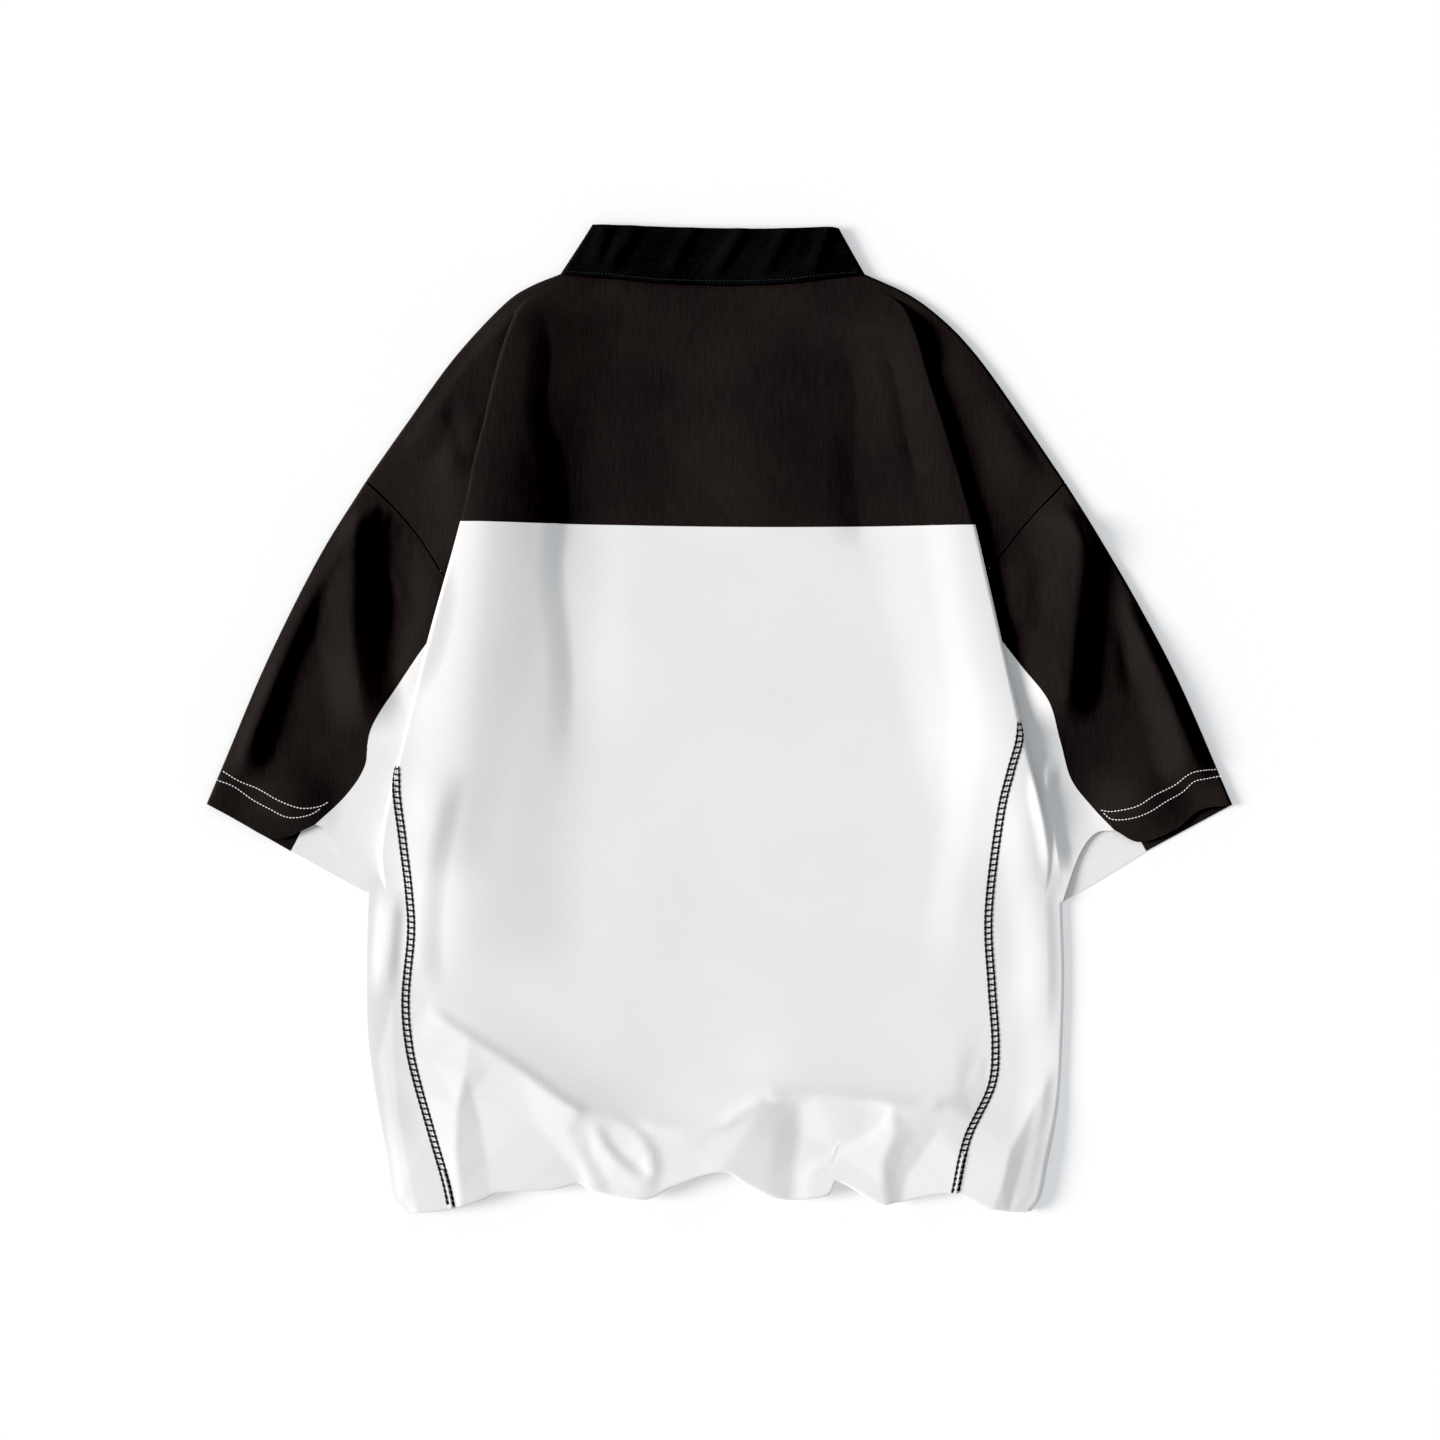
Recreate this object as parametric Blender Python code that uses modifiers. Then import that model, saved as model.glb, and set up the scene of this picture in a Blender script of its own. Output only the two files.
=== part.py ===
"""An oversized drop-shoulder t-shirt with a stand collar. It lies flat on its front, so its back shows.

Metres, +Z up, +Y towards the collar, +X to the right from above. The origin is on the table, under the
middle of the outline. The tables below are in millimetres, and points are (x, y) seen from above.

Each piece is an open sheet: a grid that is laid between the piece's own outlines, lifted by one height
function that all pieces share, and given its wall by Solidify. Two long folds run from the shoulders to
the under-arms, where the body lies over the sleeves. A fold is a section that turns through a crest,
runs back under the body for a depth, and turns out again.
"""

import math

import bmesh
import bpy
import numpy as np
from mathutils import Vector
from mathutils.geometry import delaunay_2d_cdt

MM = 0.001
NAME = "t_shirt"

# Cloth
CLOTH = 1.2  # wall of the panels
COLLAR_WALL = 2.0  # doubled and interlined
SEAM_INSET = 0.16  # each piece stops this far short of its seam line
HIDDEN_INSET = 0.45  # the same inside a fold and along the shoulder edge, where the walls turn
FLOOR_MID = CLOTH / 2  # middle of the wall of what lies on the table

# Heights over the lower layer
LEVEL = 3.0  # middle of the upper layer over the lower one where both lie flat
EDGE_RADIUS = 2.4  # outer folds of the shoulders, sleeves and sides
HEM_EDGE_RADIUS = 4.6  # the same folds near the hem, where more layers lie inside
HEM_EDGE_START = -270.0  # y where the radius starts to grow
HEM_EDGE_END = -325.0
EDGE_BLEND = 30.0  # from the rounded outer fold to the flat level
HEM_LEVEL = 9.6  # upper layer over the lower one along the hem
HEM_RISE = 62.0  # width of the slope up to the hem's level

# Hems
TURN = 2.8  # between an outer layer and its turned-under edge
HEM_ROWS = 14.0  # the turned-under edge is two rows deep

# The two long folds
CREST_RADIUS = 2.4
UNDER_RADIUS = 1.4
LEAD = 6.0  # last stretch of the body before a fold
FOLD_LEAST = 8.0  # least length of cloth that the fold's columns take up
LIFT_WIDTH = 85.0  # the body settles from the fold's height to the flat level

# Outlines of the left side, the neck and the hem. Left is -X.
NECK_BACK = [(-118.5, 333.8), (-81.8, 331.5), (-45.8, 327.8), (7.5, 326.3), (49.5, 327.8),
             (76.0, 331.0), (107.3, 333.8)]
NECK_FRONT = [(-118.5, 333.8), (-95.0, 296.0), (-52.0, 265.0), (-5.0, 255.0), (42.0, 265.0),
              (84.0, 296.0), (107.3, 333.8)]
COLLAR_TOP_BACK = [(-95.0, 369.5), (-88.0, 370.8), (-24.8, 368.6), (33.8, 367.8), (82.0, 369.0),
                   (88.8, 366.5)]
COLLAR_TOP_FRONT = [(-95.0, 369.5), (-76.0, 333.0), (-45.0, 309.0), (-4.0, 299.0), (37.0, 308.0),
                    (70.0, 331.0), (88.8, 366.5)]
YOKE_SEAM = [(-181.5, 148.3), (-123.8, 147.0), (0.0, 144.8), (91.5, 144.8), (178.0, 146.0)]
HEM_BACK = [(-238.0, -369.0), (-204.8, -366.0), (-178.5, -358.5), (-163.5, -352.5), (-127.5, -351.0),
            (-105.8, -345.8), (-97.5, -350.5), (-68.3, -357.0), (-51.8, -357.0), (-34.5, -348.0),
            (0.8, -337.0), (20.3, -346.5), (46.5, -357.8), (80.3, -354.8), (88.0, -344.3),
            (118.5, -360.5), (133.5, -360.0), (173.3, -353.3), (201.0, -364.5), (232.0, -368.5)]
HEM_FRONT = [(-238.0, -369.0), (-202.0, -355.0), (-120.0, -338.0), (0.0, -331.0), (110.0, -338.0),
             (196.0, -355.0), (232.0, -368.5)]

SHOULDER = {
    "left": [(-118.5, 333.8), (-142.5, 324.0), (-162.8, 309.8), (-198.8, 270.8), (-232.0, 225.0),
             (-264.8, 178.5)],
    "right": [(107.3, 333.8), (140.3, 318.8), (164.3, 301.5), (186.0, 279.8), (210.0, 248.3),
              (258.0, 177.8)],
}
SLEEVE_EDGE = {
    "left": [(-264.8, 178.5), (-300.0, 121.5), (-338.3, 45.0), (-369.8, -29.3), (-384.0, -63.0)],
    "right": [(258.0, 177.8), (282.0, 139.5), (313.5, 85.5), (345.0, 24.8), (383.3, -63.8)],
}
SIDE_EDGE = {
    "left": [(-264.8, -129.8), (-266.3, -181.5), (-265.5, -233.3), (-259.5, -282.0), (-251.3, -333.8),
             (-247.5, -357.0), (-238.0, -369.0)],
    "right": [(255.8, -137.3), (257.3, -191.3), (255.8, -243.0), (252.8, -289.5), (245.3, -330.8),
              (240.0, -357.0), (232.0, -368.5)],
}
ARMHOLE_BACK = {  # from the shoulder tip to the hidden meeting point of four pieces
    "left": [(-264.8, 178.5), (-243.8, 158.3), (-224.3, 135.0), (-206.3, 108.0), (-187.5, 97.5)],
    "right": [(258.0, 177.8), (228.0, 145.5), (203.3, 114.8), (183.0, 96.0)],
}
UNDER_SEAM_BACK = {  # black sleeve to white side piece, from the meeting point to the cuff
    "left": [(-187.5, 97.5), (-216.8, 60.8), (-234.8, 35.3), (-261.0, -5.3), (-266.0, -34.0),
             (-280.0, -56.0), (-303.0, -78.0)],
    "right": [(183.0, 96.0), (210.0, 60.8), (225.8, 40.5), (246.0, 14.0), (255.0, -16.0),
              (263.0, -44.0), (278.0, -64.0), (295.5, -82.5)],
}
CUFF_BACK = {  # free upper edge of the cuff, from the outer fold to the seam
    "left": [(-384.0, -63.0), (-359.3, -76.5), (-340.5, -87.0), (-326.0, -88.5), (-303.0, -78.0)],
    "right": [(383.3, -63.8), (360.0, -67.5), (341.3, -82.0), (315.0, -91.5), (295.5, -82.5)],
}
GUSSET_CUFF_BACK = {  # the same edge on the white piece, from the seam to the under-arm
    "left": [(-303.0, -78.0), (-296.0, -82.0), (-285.0, -97.5), (-264.8, -129.8)],
    "right": [(295.5, -82.5), (281.0, -85.0), (269.0, -101.0), (255.8, -137.3)],
}
CUFF_FRONT = {  # lower edge of the cuff: outer fold, seam, under-arm
    "left": [(-384.0, -63.0), (-321.8, -98.3), (-264.8, -129.8)],
    "right": [(383.3, -63.8), (319.5, -98.3), (255.8, -137.3)],
}
FRONT_MEETING = {"left": (-214.0, 105.0), "right": (208.0, 105.0)}
YOKE_SEAM_FRONT = [(-214.0, 105.0), (-190.0, 138.0), (-150.0, 147.0), (0.0, 146.0), (144.0, 147.0),
                   (184.0, 138.0), (208.0, 105.0)]
COVER_SEAM = {  # the cover-stitched seam of the back where it shows
    "left": [(-241.5, -34.0), (-241.5, -54.8), (-237.0, -88.5), (-232.5, -130.0), (-231.0, -160.5),
             (-235.5, -207.0), (-233.3, -240.8), (-225.8, -274.5), (-206.3, -339.0), (-200.3, -366.0)],
    "right": [(223.5, -0.8), (223.3, -15.0), (216.8, -39.0), (209.3, -72.8), (201.0, -144.8),
              (203.5, -200.0), (206.3, -243.0), (203.0, -274.5), (184.5, -312.8), (175.5, -353.0)],
}
COVER_SEAM_FRONT = {
    "left": [(-214.0, 105.0), (-232.0, -40.0), (-226.0, -200.0), (-202.0, -355.0)],
    "right": [(208.0, 105.0), (222.0, -40.0), (214.0, -200.0), (196.0, -355.0)],
}
CREST = {  # edge of the body where it lies over the sleeve, and on down inside the side piece
    "left": [(-96.0, 332.6), (-113.0, 328.0), (-130.0, 322.0), (-147.0, 311.0), (-157.0, 292.0),
             (-167.3, 259.5), (-175.5, 223.5), (-184.5, 187.5), (-192.8, 149.3), (-217.5, 60.0),
             (-241.5, -33.8), (-251.0, -75.0), (-254.0, -105.0), (-249.0, -130.0), (-242.0, -160.0),
             (-241.0, -200.0), (-240.0, -243.0), (-233.0, -282.0), (-221.0, -333.0), (-211.0, -368.0)],
    "right": [(88.0, 332.6), (104.0, 328.0), (120.0, 321.0), (137.3, 309.0), (148.0, 285.8), (157.5, 253.5),
              (170.3, 213.8), (183.0, 171.0), (190.5, 144.8), (210.0, 60.0), (223.5, -0.8),
              (233.0, -37.5), (243.0, -80.0), (246.0, -108.0), (242.0, -135.0), (233.0, -165.0),
              (230.0, -200.0), (231.0, -243.0), (226.0, -290.0), (215.0, -333.0), (205.0, -368.0)],
}
FOLD = {  # y, depth, turn in degrees
    "left": [(322, 0, 0), (306, 3, 60), (285, 8, 150), (262, 12, 180), (190, 17, 180), (150, 19, 180),
             (97, 19, 180), (20, 16, 180), (-35, 12, 180), (-75, 6, 150), (-105, 3, 90), (-128, 0, 0)],
    "right": [(322, 0, 0), (306, 3, 60), (285, 8, 150), (262, 12, 180), (190, 16, 180), (150, 18, 180),
              (97, 18, 180), (40, 15, 180), (0, 9, 160), (-35, 5, 120), (-85, 3, 80), (-134, 0, 0)],
}
SEAM_CLIMB = {  # y where the hidden cover seam starts to climb to the crest, and where it comes out
    "left": (66.0, -34.0),
    "right": (84.0, -0.8),
}

# Soft ridges of the upper layer. Columns: points of the crest, height, width on its left, width on its
# right, fade at the start, fade at the end, and sharpness from 0, rounded, to 1, pointed
RIDGES = {
    "back_left": ([(-130.5, 343.5), (-147, 300), (-162.8, 240), (-169.5, 180), (-169.5, 120),
                   (-174.8, 60), (-179.2, 0), (-185.2, -60), (-187.5, -120), (-188.2, -165),
                   (-192, -217.5)],
                 7, 90, 56, 90, 70, 0),
    "back_left_tail": ([(-147, 300), (-162.8, 240), (-168, 180), (-166.5, 120), (-171, 60), (-174, 0),
                        (-181.5, -82.5)],
                      4.5, 95, 100, 90, 110, 0),
    "back_left_low": ([(-202.5, -26.2), (-214.5, -75), (-222.8, -120), (-225.8, -165), (-223.5, -210)],
                     3.4, 20, 34, 45, 40, 0),
    "back_right": ([(151.5, 292.5), (168.8, 217.5), (178.5, 150), (191.2, 60), (198.8, 0),
                    (191.2, -82.5), (178.5, -165), (172.5, -217.5)],
                  2, 80, 30, 70, 90, 0),
    "left_flank": ([(-243.8, -120), (-248.2, -170.2), (-253.5, -213.8)],
                  3, 12, 16, 30, 40, 0),
    "right_flank": ([(225.8, -37.5), (232.5, -109.5), (240, -180), (235.5, -249.8)],
                   2.6, 24, 26, 50, 60, 0),
    "sleeve_left": ([(-270.8, 165), (-273.8, 111), (-274.5, 66.8), (-269.2, 22.5), (-262.5, -15)],
                   13, 32, 30, 22, 36, 0.35),
    "sleeve_left_outer": ([(-288, 150), (-312, 100.5), (-334.5, 44.2), (-354, -22.5), (-360, -52.5)],
                         9.5, 22, 32, 40, 36, 0.2),
    "sleeve_left_inner": ([(-220.5, 131.2), (-216.8, 90), (-226.5, 48.8), (-246, 15)],
                         4, 22, 18, 30, 30, 0),
    "sleeve_right": ([(270, 166.5), (268.5, 111), (261.8, 44.2), (256.5, -11.2)],
                    13, 28, 44, 22, 36, 0.35),
    "sleeve_right_outer": ([(306, 120), (315, 82.5), (328.5, 44.2), (344.2, -11.2), (352.5, -60)],
                          10, 38, 24, 50, 34, 0.2),
    "sleeve_right_seam": ([(232.5, 131.2), (226.5, 97.5), (231, 60)],
                         3, 16, 20, 26, 26, 0),
    "shoulder_left": ([(-236.2, 189.8), (-207.8, 228), (-180, 261.8)],
                     3, 20, 22, 40, 40, 0),
    "shoulder_left_low": ([(-210, 165), (-193.5, 210), (-180, 240)],
                         2.5, 16, 18, 30, 30, 0),
    "shoulder_right": ([(198.8, 240), (219, 202.5), (240, 165)],
                      3.5, 24, 26, 40, 40, 0),
    "yoke_middle": ([(28.5, 315), (34.5, 255), (36, 195), (33, 120)],
                   5.5, 110, 80, 60, 60, 0),
    "gusset_right": ([(246, -24), (243.8, -54.8), (249, -83.2), (255.8, -120)],
                    6, 12, 16, 25, 25, 0.3),
    "cuff_left": ([(-330, -92.2), (-321.8, -60), (-318, -20.2)],
                 9, 42, 42, 45, 50, 0),
    "cuff_right": ([(321.8, -92.2), (315.8, -60), (308.2, -20.2)],
                  10, 42, 42, 45, 50, 0),
    "gather_a": ([(-256.5, 165.8), (-260.2, 153), (-261.8, 139.5)],
                1.3, 3.5, 3.5, 8, 16, 0),
    "gather_b": ([(-249, 159), (-251.2, 144), (-250.5, 129.8)],
                1.1, 3.5, 4, 8, 18, 0),
    "gather_c": ([(-242.2, 152.2), (-242.2, 139.5), (-239.2, 126)],
                1.4, 3.5, 3.5, 8, 18, 0),
    "gather_d": ([(-234.8, 144), (-234, 131.2), (-229.5, 120)],
                1, 3.5, 4, 8, 16, 0),
    "gather_e": ([(-226.5, 135), (-224.2, 123), (-221.2, 113.2)],
                1.2, 3.5, 3.5, 8, 16, 0),
}
RIDGE_EDGE_FADE = 13.0  # ridges die away over this distance from an outer fold

# The gathered hem: its ridges and hollows as (x, y, lift), with flat facets between them
HEM_LINES = {
    "crest": [(-236.2, -202.5, 0), (-218.2, -217.5, 1), (-187.5, -236.2, 4), (-149.2, -261.8, 6.5),
              (-114.8, -286.5, 8), (-96, -298.5, 8.5), (-81, -297.8, 8.5), (-63.8, -301.5, 7.5),
              (-37.5, -305.2, 7.5), (-20.2, -306, 7.5), (0, -303.8, 7.8), (14.2, -294, 8.8),
              (35.2, -282, 10.4), (52.5, -281.2, 9.4), (70.5, -281.2, 8.5), (110.2, -284.2, 8),
              (129, -288.8, 9.5), (150.8, -289.5, 8), (168, -287.2, 7.5), (183.8, -277.5, 4),
              (198.8, -258.8, 0)],
    "pucker_ridge": [(-190.5, -264, 7.6), (-196.5, -291.8, 7.4), (-197.2, -322.5, 5.8),
                     (-194.2, -350.2, 4), (-193.5, -371.2, 3)],
    "pucker_valley": [(-190.5, -264, 7.6), (-185.2, -279, 5.4), (-178.5, -303.8, 3.6),
                      (-174, -330, 2.4), (-169.5, -371.2, 1.6)],
    "pucker_top": [(-190.5, -264, 7.6), (-172.5, -260.2, 6.2), (-157.5, -257.2, 6)],
    "soft_valley": [(-138.8, -299.2, 5), (-121.5, -320.2, 3.2), (-104.2, -341.2, 1.6),
                    (-101.2, -371.2, 1)],
    "soft_ridge": [(-114.8, -286.5, 8), (-115.5, -303.8, 6.8), (-105, -322.5, 5.2),
                   (-95.2, -343.5, 3.5), (-92.2, -371.2, 3)],
    "roll_outside": [(-96, -298.5, 8.5), (-99, -307.5, 6.6), (-94.5, -326.2, 4.2), (-84, -343.5, 2.6),
                     (-77.2, -371.2, 1.6)],
    "roll_inner": [(-94.5, -301.5, 8.4), (-88.5, -315, 8), (-76.5, -330, 6.9), (-65.2, -339.8, 5.9),
                   (-57.8, -348, 5)],
    "roll_groove": [(-90, -300.8, 8.2), (-81.8, -313.5, 6), (-72, -324.8, 4.8), (-61.5, -332.2, 4.2),
                    (-55.5, -337.5, 4.4)],
    "roll_outer": [(-81, -297.8, 8.5), (-62.2, -306.8, 8.9), (-54, -320.2, 8.5), (-51, -333, 7.4),
                   (-54, -343.5, 5.8), (-60, -352.5, 4)],
    "roll_foot": [(-63.8, -301.5, 7.5), (-52.5, -310.5, 6.8), (-45, -324, 5.6), (-42.8, -337.5, 4.4),
                  (-47.2, -354, 3), (-52.5, -371.2, 2)],
    "band_middle": [(-20.2, -306, 7.5), (-15, -322.5, 6.6), (-15, -345, 5), (-16.5, -371.2, 4)],
    "notch_ridge": [(35.2, -282, 10.4), (24, -300, 9.6), (13.5, -316.5, 8.4), (1.5, -335.2, 7.2),
                    (-3, -371.2, 6)],
    "notch_foot": [(39, -285, 9.8), (41.2, -303.8, 7.6), (39, -322.5, 5.8), (36, -341.2, 4.2),
                   (33.8, -371.2, 3)],
    "flat_foot": [(58.5, -288, 6.4), (60, -309, 2.8), (56.2, -330, 1.4), (52.5, -371.2, 0.4)],
    "side_groove": [(123.8, -291, 8.3), (118.5, -301.5, 6.8), (106.5, -311.2, 5), (88.5, -320.2, 3.3),
                    (69, -327, 2.3), (60.8, -337.5, 1.7), (60, -371.2, 1.2)],
    "side_roll": [(129, -288.8, 9.5), (124.5, -304.5, 8.3), (111.8, -316.5, 6.7), (93, -325.5, 4.9),
                  (74.2, -332.2, 3.7), (66.8, -342, 2.9), (69, -371.2, 2.2)],
    "fold_ridge": [(129, -288.8, 9.5), (129, -311.2, 9), (121.5, -328.5, 7.8), (121.5, -347.2, 5.8),
                   (126, -371.2, 3.6)],
    "fold_valley": [(168, -287.2, 7.5), (163.5, -306, 4.8), (150.8, -324, 3), (138.8, -341.2, 2),
                    (134.2, -371.2, 1.2)],
    "fold_side": [(150.8, -289.5, 8.2), (144.8, -307.5, 6.4), (136.5, -324, 4.9), (131.2, -341.2, 3.4)],
    "seam_right": [(198.8, -258.8, 0), (198.8, -277.5, 2.6), (191.2, -300, 4.6), (181.5, -330, 5),
                   (175.5, -351.8, 4), (174, -371.2, 3.6)],
    "edge_fold": [(235.5, -288, 4), (216, -322.5, 6.8), (210, -349.5, 5.6), (201, -371.2, 4)],
    "edge_foot": [(241.5, -292.5, 2.4), (228, -322.5, 2.8), (220.5, -348.8, 2.2), (214.5, -371.2, 1.4)],
    "seam_left": [(-236.2, -202.5, 0), (-233.2, -240.8, 1.2), (-225.8, -274.5, 2.6),
                  (-216.8, -310.5, 2.8), (-206.2, -339, 2), (-198, -371.2, 1.4)],
    "left_side": [(-245.2, -210, 0), (-244.5, -255, 1.6), (-240, -300, 2), (-232.5, -337.5, 2.6),
                  (-225, -371.2, 2)],
    "mid_band": [(-217.5, -255, 3.4), (-206.2, -270, 4.6)],
    "rim": [(-255, -202.5, 0), (-256.5, -255, 0), (-252, -300, 0), (-243.8, -378.8, 0),
            (232.5, -378.8, 0), (244.5, -337.5, 0), (252, -292.5, 0), (253.5, -258.8, 0)],
}
HEM_ACROSS = np.arange(-262.0, 257.0)  # the facets are looked up every millimetre
HEM_UP = np.arange(-384.0, -195.0)
HEM_EVEN_OUT = 500  # passes that soften the crest's line for the slope above it
HEM_REACH = 62.0  # the slope above the crest
HEM_SHARP_REACH = 16.0  # what the true crest stands over the softened one
HEM_ROUNDING = 4  # passes that round the facets' edges
HEM_CREST_ENDS = 24.0  # the slope begins and ends over this width
HEM_STEP = 2.0  # spacing of the softened outline that the hem's level follows
HEM_SOFTEN = 150  # passes that soften it

# Rows and columns
YOKE_ROWS = np.array([0, 0.06, 0.12, 0.19, 0.28, 0.39, 0.51, 0.63, 0.75, 0.87, 1.0])
ROWS_TO_SEAM = np.array([0, 0.2, 0.4, 0.58, 0.73, 0.87, 1.0])  # down to where the cover seam comes out
ROWS_TO_ARM = np.array([0.09, 0.22, 0.4, 0.6, 0.8, 1.0])  # from there to the under-arm
ROWS_TO_HEM = 10  # on down to the hem's own rows
ARM_ROWS = len(ROWS_TO_SEAM) + len(ROWS_TO_ARM) - 1
SLEEVE_ROWS = 8
RISE_ROWS = 8  # the panel's rows are level with the seam's below these
ARMHOLE_COLUMNS = 7
BODY_COLUMNS = 30
BODY_SPREAD = 0.08  # how far the body's columns crowd towards the folds
SLEEVE_LOWER_COLUMNS = 4
SIDE_LOWER_COLUMNS = 4
FRONT_COLUMNS = 10
FRONT_YOKE_ROWS = (5, 3)  # along the shoulder, along the armhole
CREST_STEPS = 3
BACK_STEPS = 2
UNDER_STEPS = 2
TURN_STEPS = 3  # around a turned-under hem's edge
COLLAR_BACK_COLUMNS = 16
COLLAR_FRONT_COLUMNS = 10
COLLAR_ROWS = 3
COLLAR_SHELF_Y = 326.0  # the collar takes its height from the yoke up to here
COLLAR_RISE = 1.5
HEM_SNAP_SHARES = (1.0, 1.0, 1.0, 0.75, 0.5, 0.25)  # of the last rows, to follow the hem's outline
HEM_SNAP_ROWS = len(HEM_SNAP_SHARES)
HIDDEN_SEAM_Y = -60.0  # the cover seams are inside the folds above this
UNDER_SEAM_REACH = 0.8  # share of a side piece's rows that follow the bow of its top seam

# How far a seam has run down at each column of a fold
FOLD_SHARES = np.array([0, 0, 0, 0, 0, 0.15, 1.0])
SHOULDER_RUN = 0.52  # the shoulder's rows start as steep as the fold's
CLIP_MARGIN = 3.0  # a clipped line keeps no point this close to its new ends

SIGN = {"left": -1.0, "right": 1.0}
BLACK = (0.022, 0.018, 0.017, 1.0)
WHITE = (0.86, 0.86, 0.87, 1.0)


# ---- curves ------------------------------------------------------------------------------------------

def smooth_line(points, steps=12):
    """Dense points on a Catmull-Rom curve through the given ones."""
    p = np.array(points, dtype=float)
    padded = np.vstack([2 * p[0] - p[1], p, 2 * p[-1] - p[-2]])
    t = np.linspace(0, 1, steps, endpoint=False)[:, None]
    spans = []
    for i in range(len(p) - 1):
        a, b, c, d = padded[i:i + 4]
        spans.append(0.5 * (2 * b + (c - a) * t + (2 * a - 5 * b + 4 * c - d) * t ** 2
                            + (3 * b - a - 3 * c + d) * t ** 3))
    return np.vstack(spans + [p[-1:]])


def lengths(line):
    """Length along a line up to each of its points."""
    return np.concatenate([[0], np.cumsum(np.linalg.norm(np.diff(line, axis=0), axis=1))])


def resample(line, fractions):
    """Points at fractions of a line's length."""
    run = lengths(line)
    at = np.asarray(fractions) * run[-1]
    return np.stack([np.interp(at, run, line[:, k]) for k in range(line.shape[1])], axis=1)


def spaced(points, count):
    return resample(smooth_line(points), np.linspace(0, 1, count + 1))


def straight(a, b, fractions):
    return np.array(a) + (np.array(b) - np.array(a)) * np.asarray(fractions)[:, None]


def ease(t):
    t = np.clip(t, 0.0, 1.0)
    return t * t * (3 - 2 * t)


def line_measure(x, y, line):
    """Distance to a line, its side (1 on the left of its direction), the run along it, its length."""
    shape = x.shape
    points = np.column_stack([x.ravel(), y.ravel()])
    best = np.full(len(points), np.inf)
    side = np.zeros(len(points))
    along = np.zeros(len(points))
    run = 0.0
    for start, end in zip(line[:-1], line[1:]):
        step = end - start
        length = np.hypot(*step)
        offset = points - start
        share = np.clip(offset @ step / length ** 2, 0, 1)
        offset = offset - share[:, None] * step
        distance = np.hypot(offset[:, 0], offset[:, 1])
        nearer = distance < best
        best[nearer] = distance[nearer]
        side[nearer] = np.sign(step[0] * offset[nearer, 1] - step[1] * offset[nearer, 0])
        along[nearer] = run + share[nearer] * length
        run += length
    return best.reshape(shape), side.reshape(shape), along.reshape(shape), run


# ---- heights -----------------------------------------------------------------------------------------

OUTER_FOLDS = [smooth_line(table[side]) for table in (SHOULDER, SLEEVE_EDGE, SIDE_EDGE) for side in SIGN]
HEM_BACK_LINE = smooth_line(HEM_BACK)
HEM_FRONT_LINE = smooth_line(HEM_FRONT)
RIDGE_LINES = [(smooth_line(points, 6), *sizes) for points, *sizes in RIDGES.values()]


def softened(values, passes):
    """Evens out a row of values, with its ends held."""
    values = values.copy()
    for _ in range(passes):
        values[1:-1] = (values[:-2] + 2 * values[1:-1] + values[2:]) / 4
    return values


HEM_RUN = np.arange(HEM_BACK_LINE[0, 0], HEM_BACK_LINE[-1, 0], HEM_STEP)
HEM_SOFT = softened(np.interp(HEM_RUN, HEM_BACK_LINE[:, 0], HEM_BACK_LINE[:, 1]), HEM_SOFTEN)


def hem_y(x, line):
    return np.interp(x, line[:, 0], line[:, 1]) + TURN / 2


def edge_distance(x, y):
    return np.min([line_measure(x, y, line)[0] for line in OUTER_FOLDS], axis=0)


def edge_radius(y):
    return np.interp(y, [HEM_EDGE_END, HEM_EDGE_START], [HEM_EDGE_RADIUS, EDGE_RADIUS])


def ridge_height(x, y):
    """Sum of the ridges. Each falls off across its crest, and along it towards its ends."""
    total = np.zeros_like(x)
    for line, height, left, right, start_fade, end_fade, sharp in RIDGE_LINES:
        distance, side, along, run = line_measure(x, y, line)
        across = np.clip(distance / np.where(side > 0, left, right), 0, 1)
        bump = (1 - sharp) * np.cos(across * math.pi / 2) ** 2 + sharp * (1 - across) ** 2
        total += height * bump * ease(along / start_fade) * ease((run - along) / end_fade)
    return total


def rounded(values, passes):
    """Evens out a table of values both ways."""
    for _ in range(passes):
        padded = np.pad(values, 1, mode="edge")
        values = (padded[1:-1, :-2] + 2 * padded[1:-1, 1:-1] + padded[1:-1, 2:]) / 4
        padded = np.pad(values, 1, mode="edge")
        values = (padded[:-2, 1:-1] + 2 * padded[1:-1, 1:-1] + padded[2:, 1:-1]) / 4
    return values


def hem_corners():
    """Corners of the hem's lines, each once, their lifts, and the lines' steps between them."""
    corners = []
    lifts = []
    edges = []
    for line in HEM_LINES.values():
        held = []
        for x, y, lift in line:
            if (x, y) not in corners:
                corners.append((x, y))
                lifts.append(lift)
            held.append(corners.index((x, y)))
        edges += list(zip(held[:-1], held[1:]))
    return corners, lifts, edges


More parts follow.
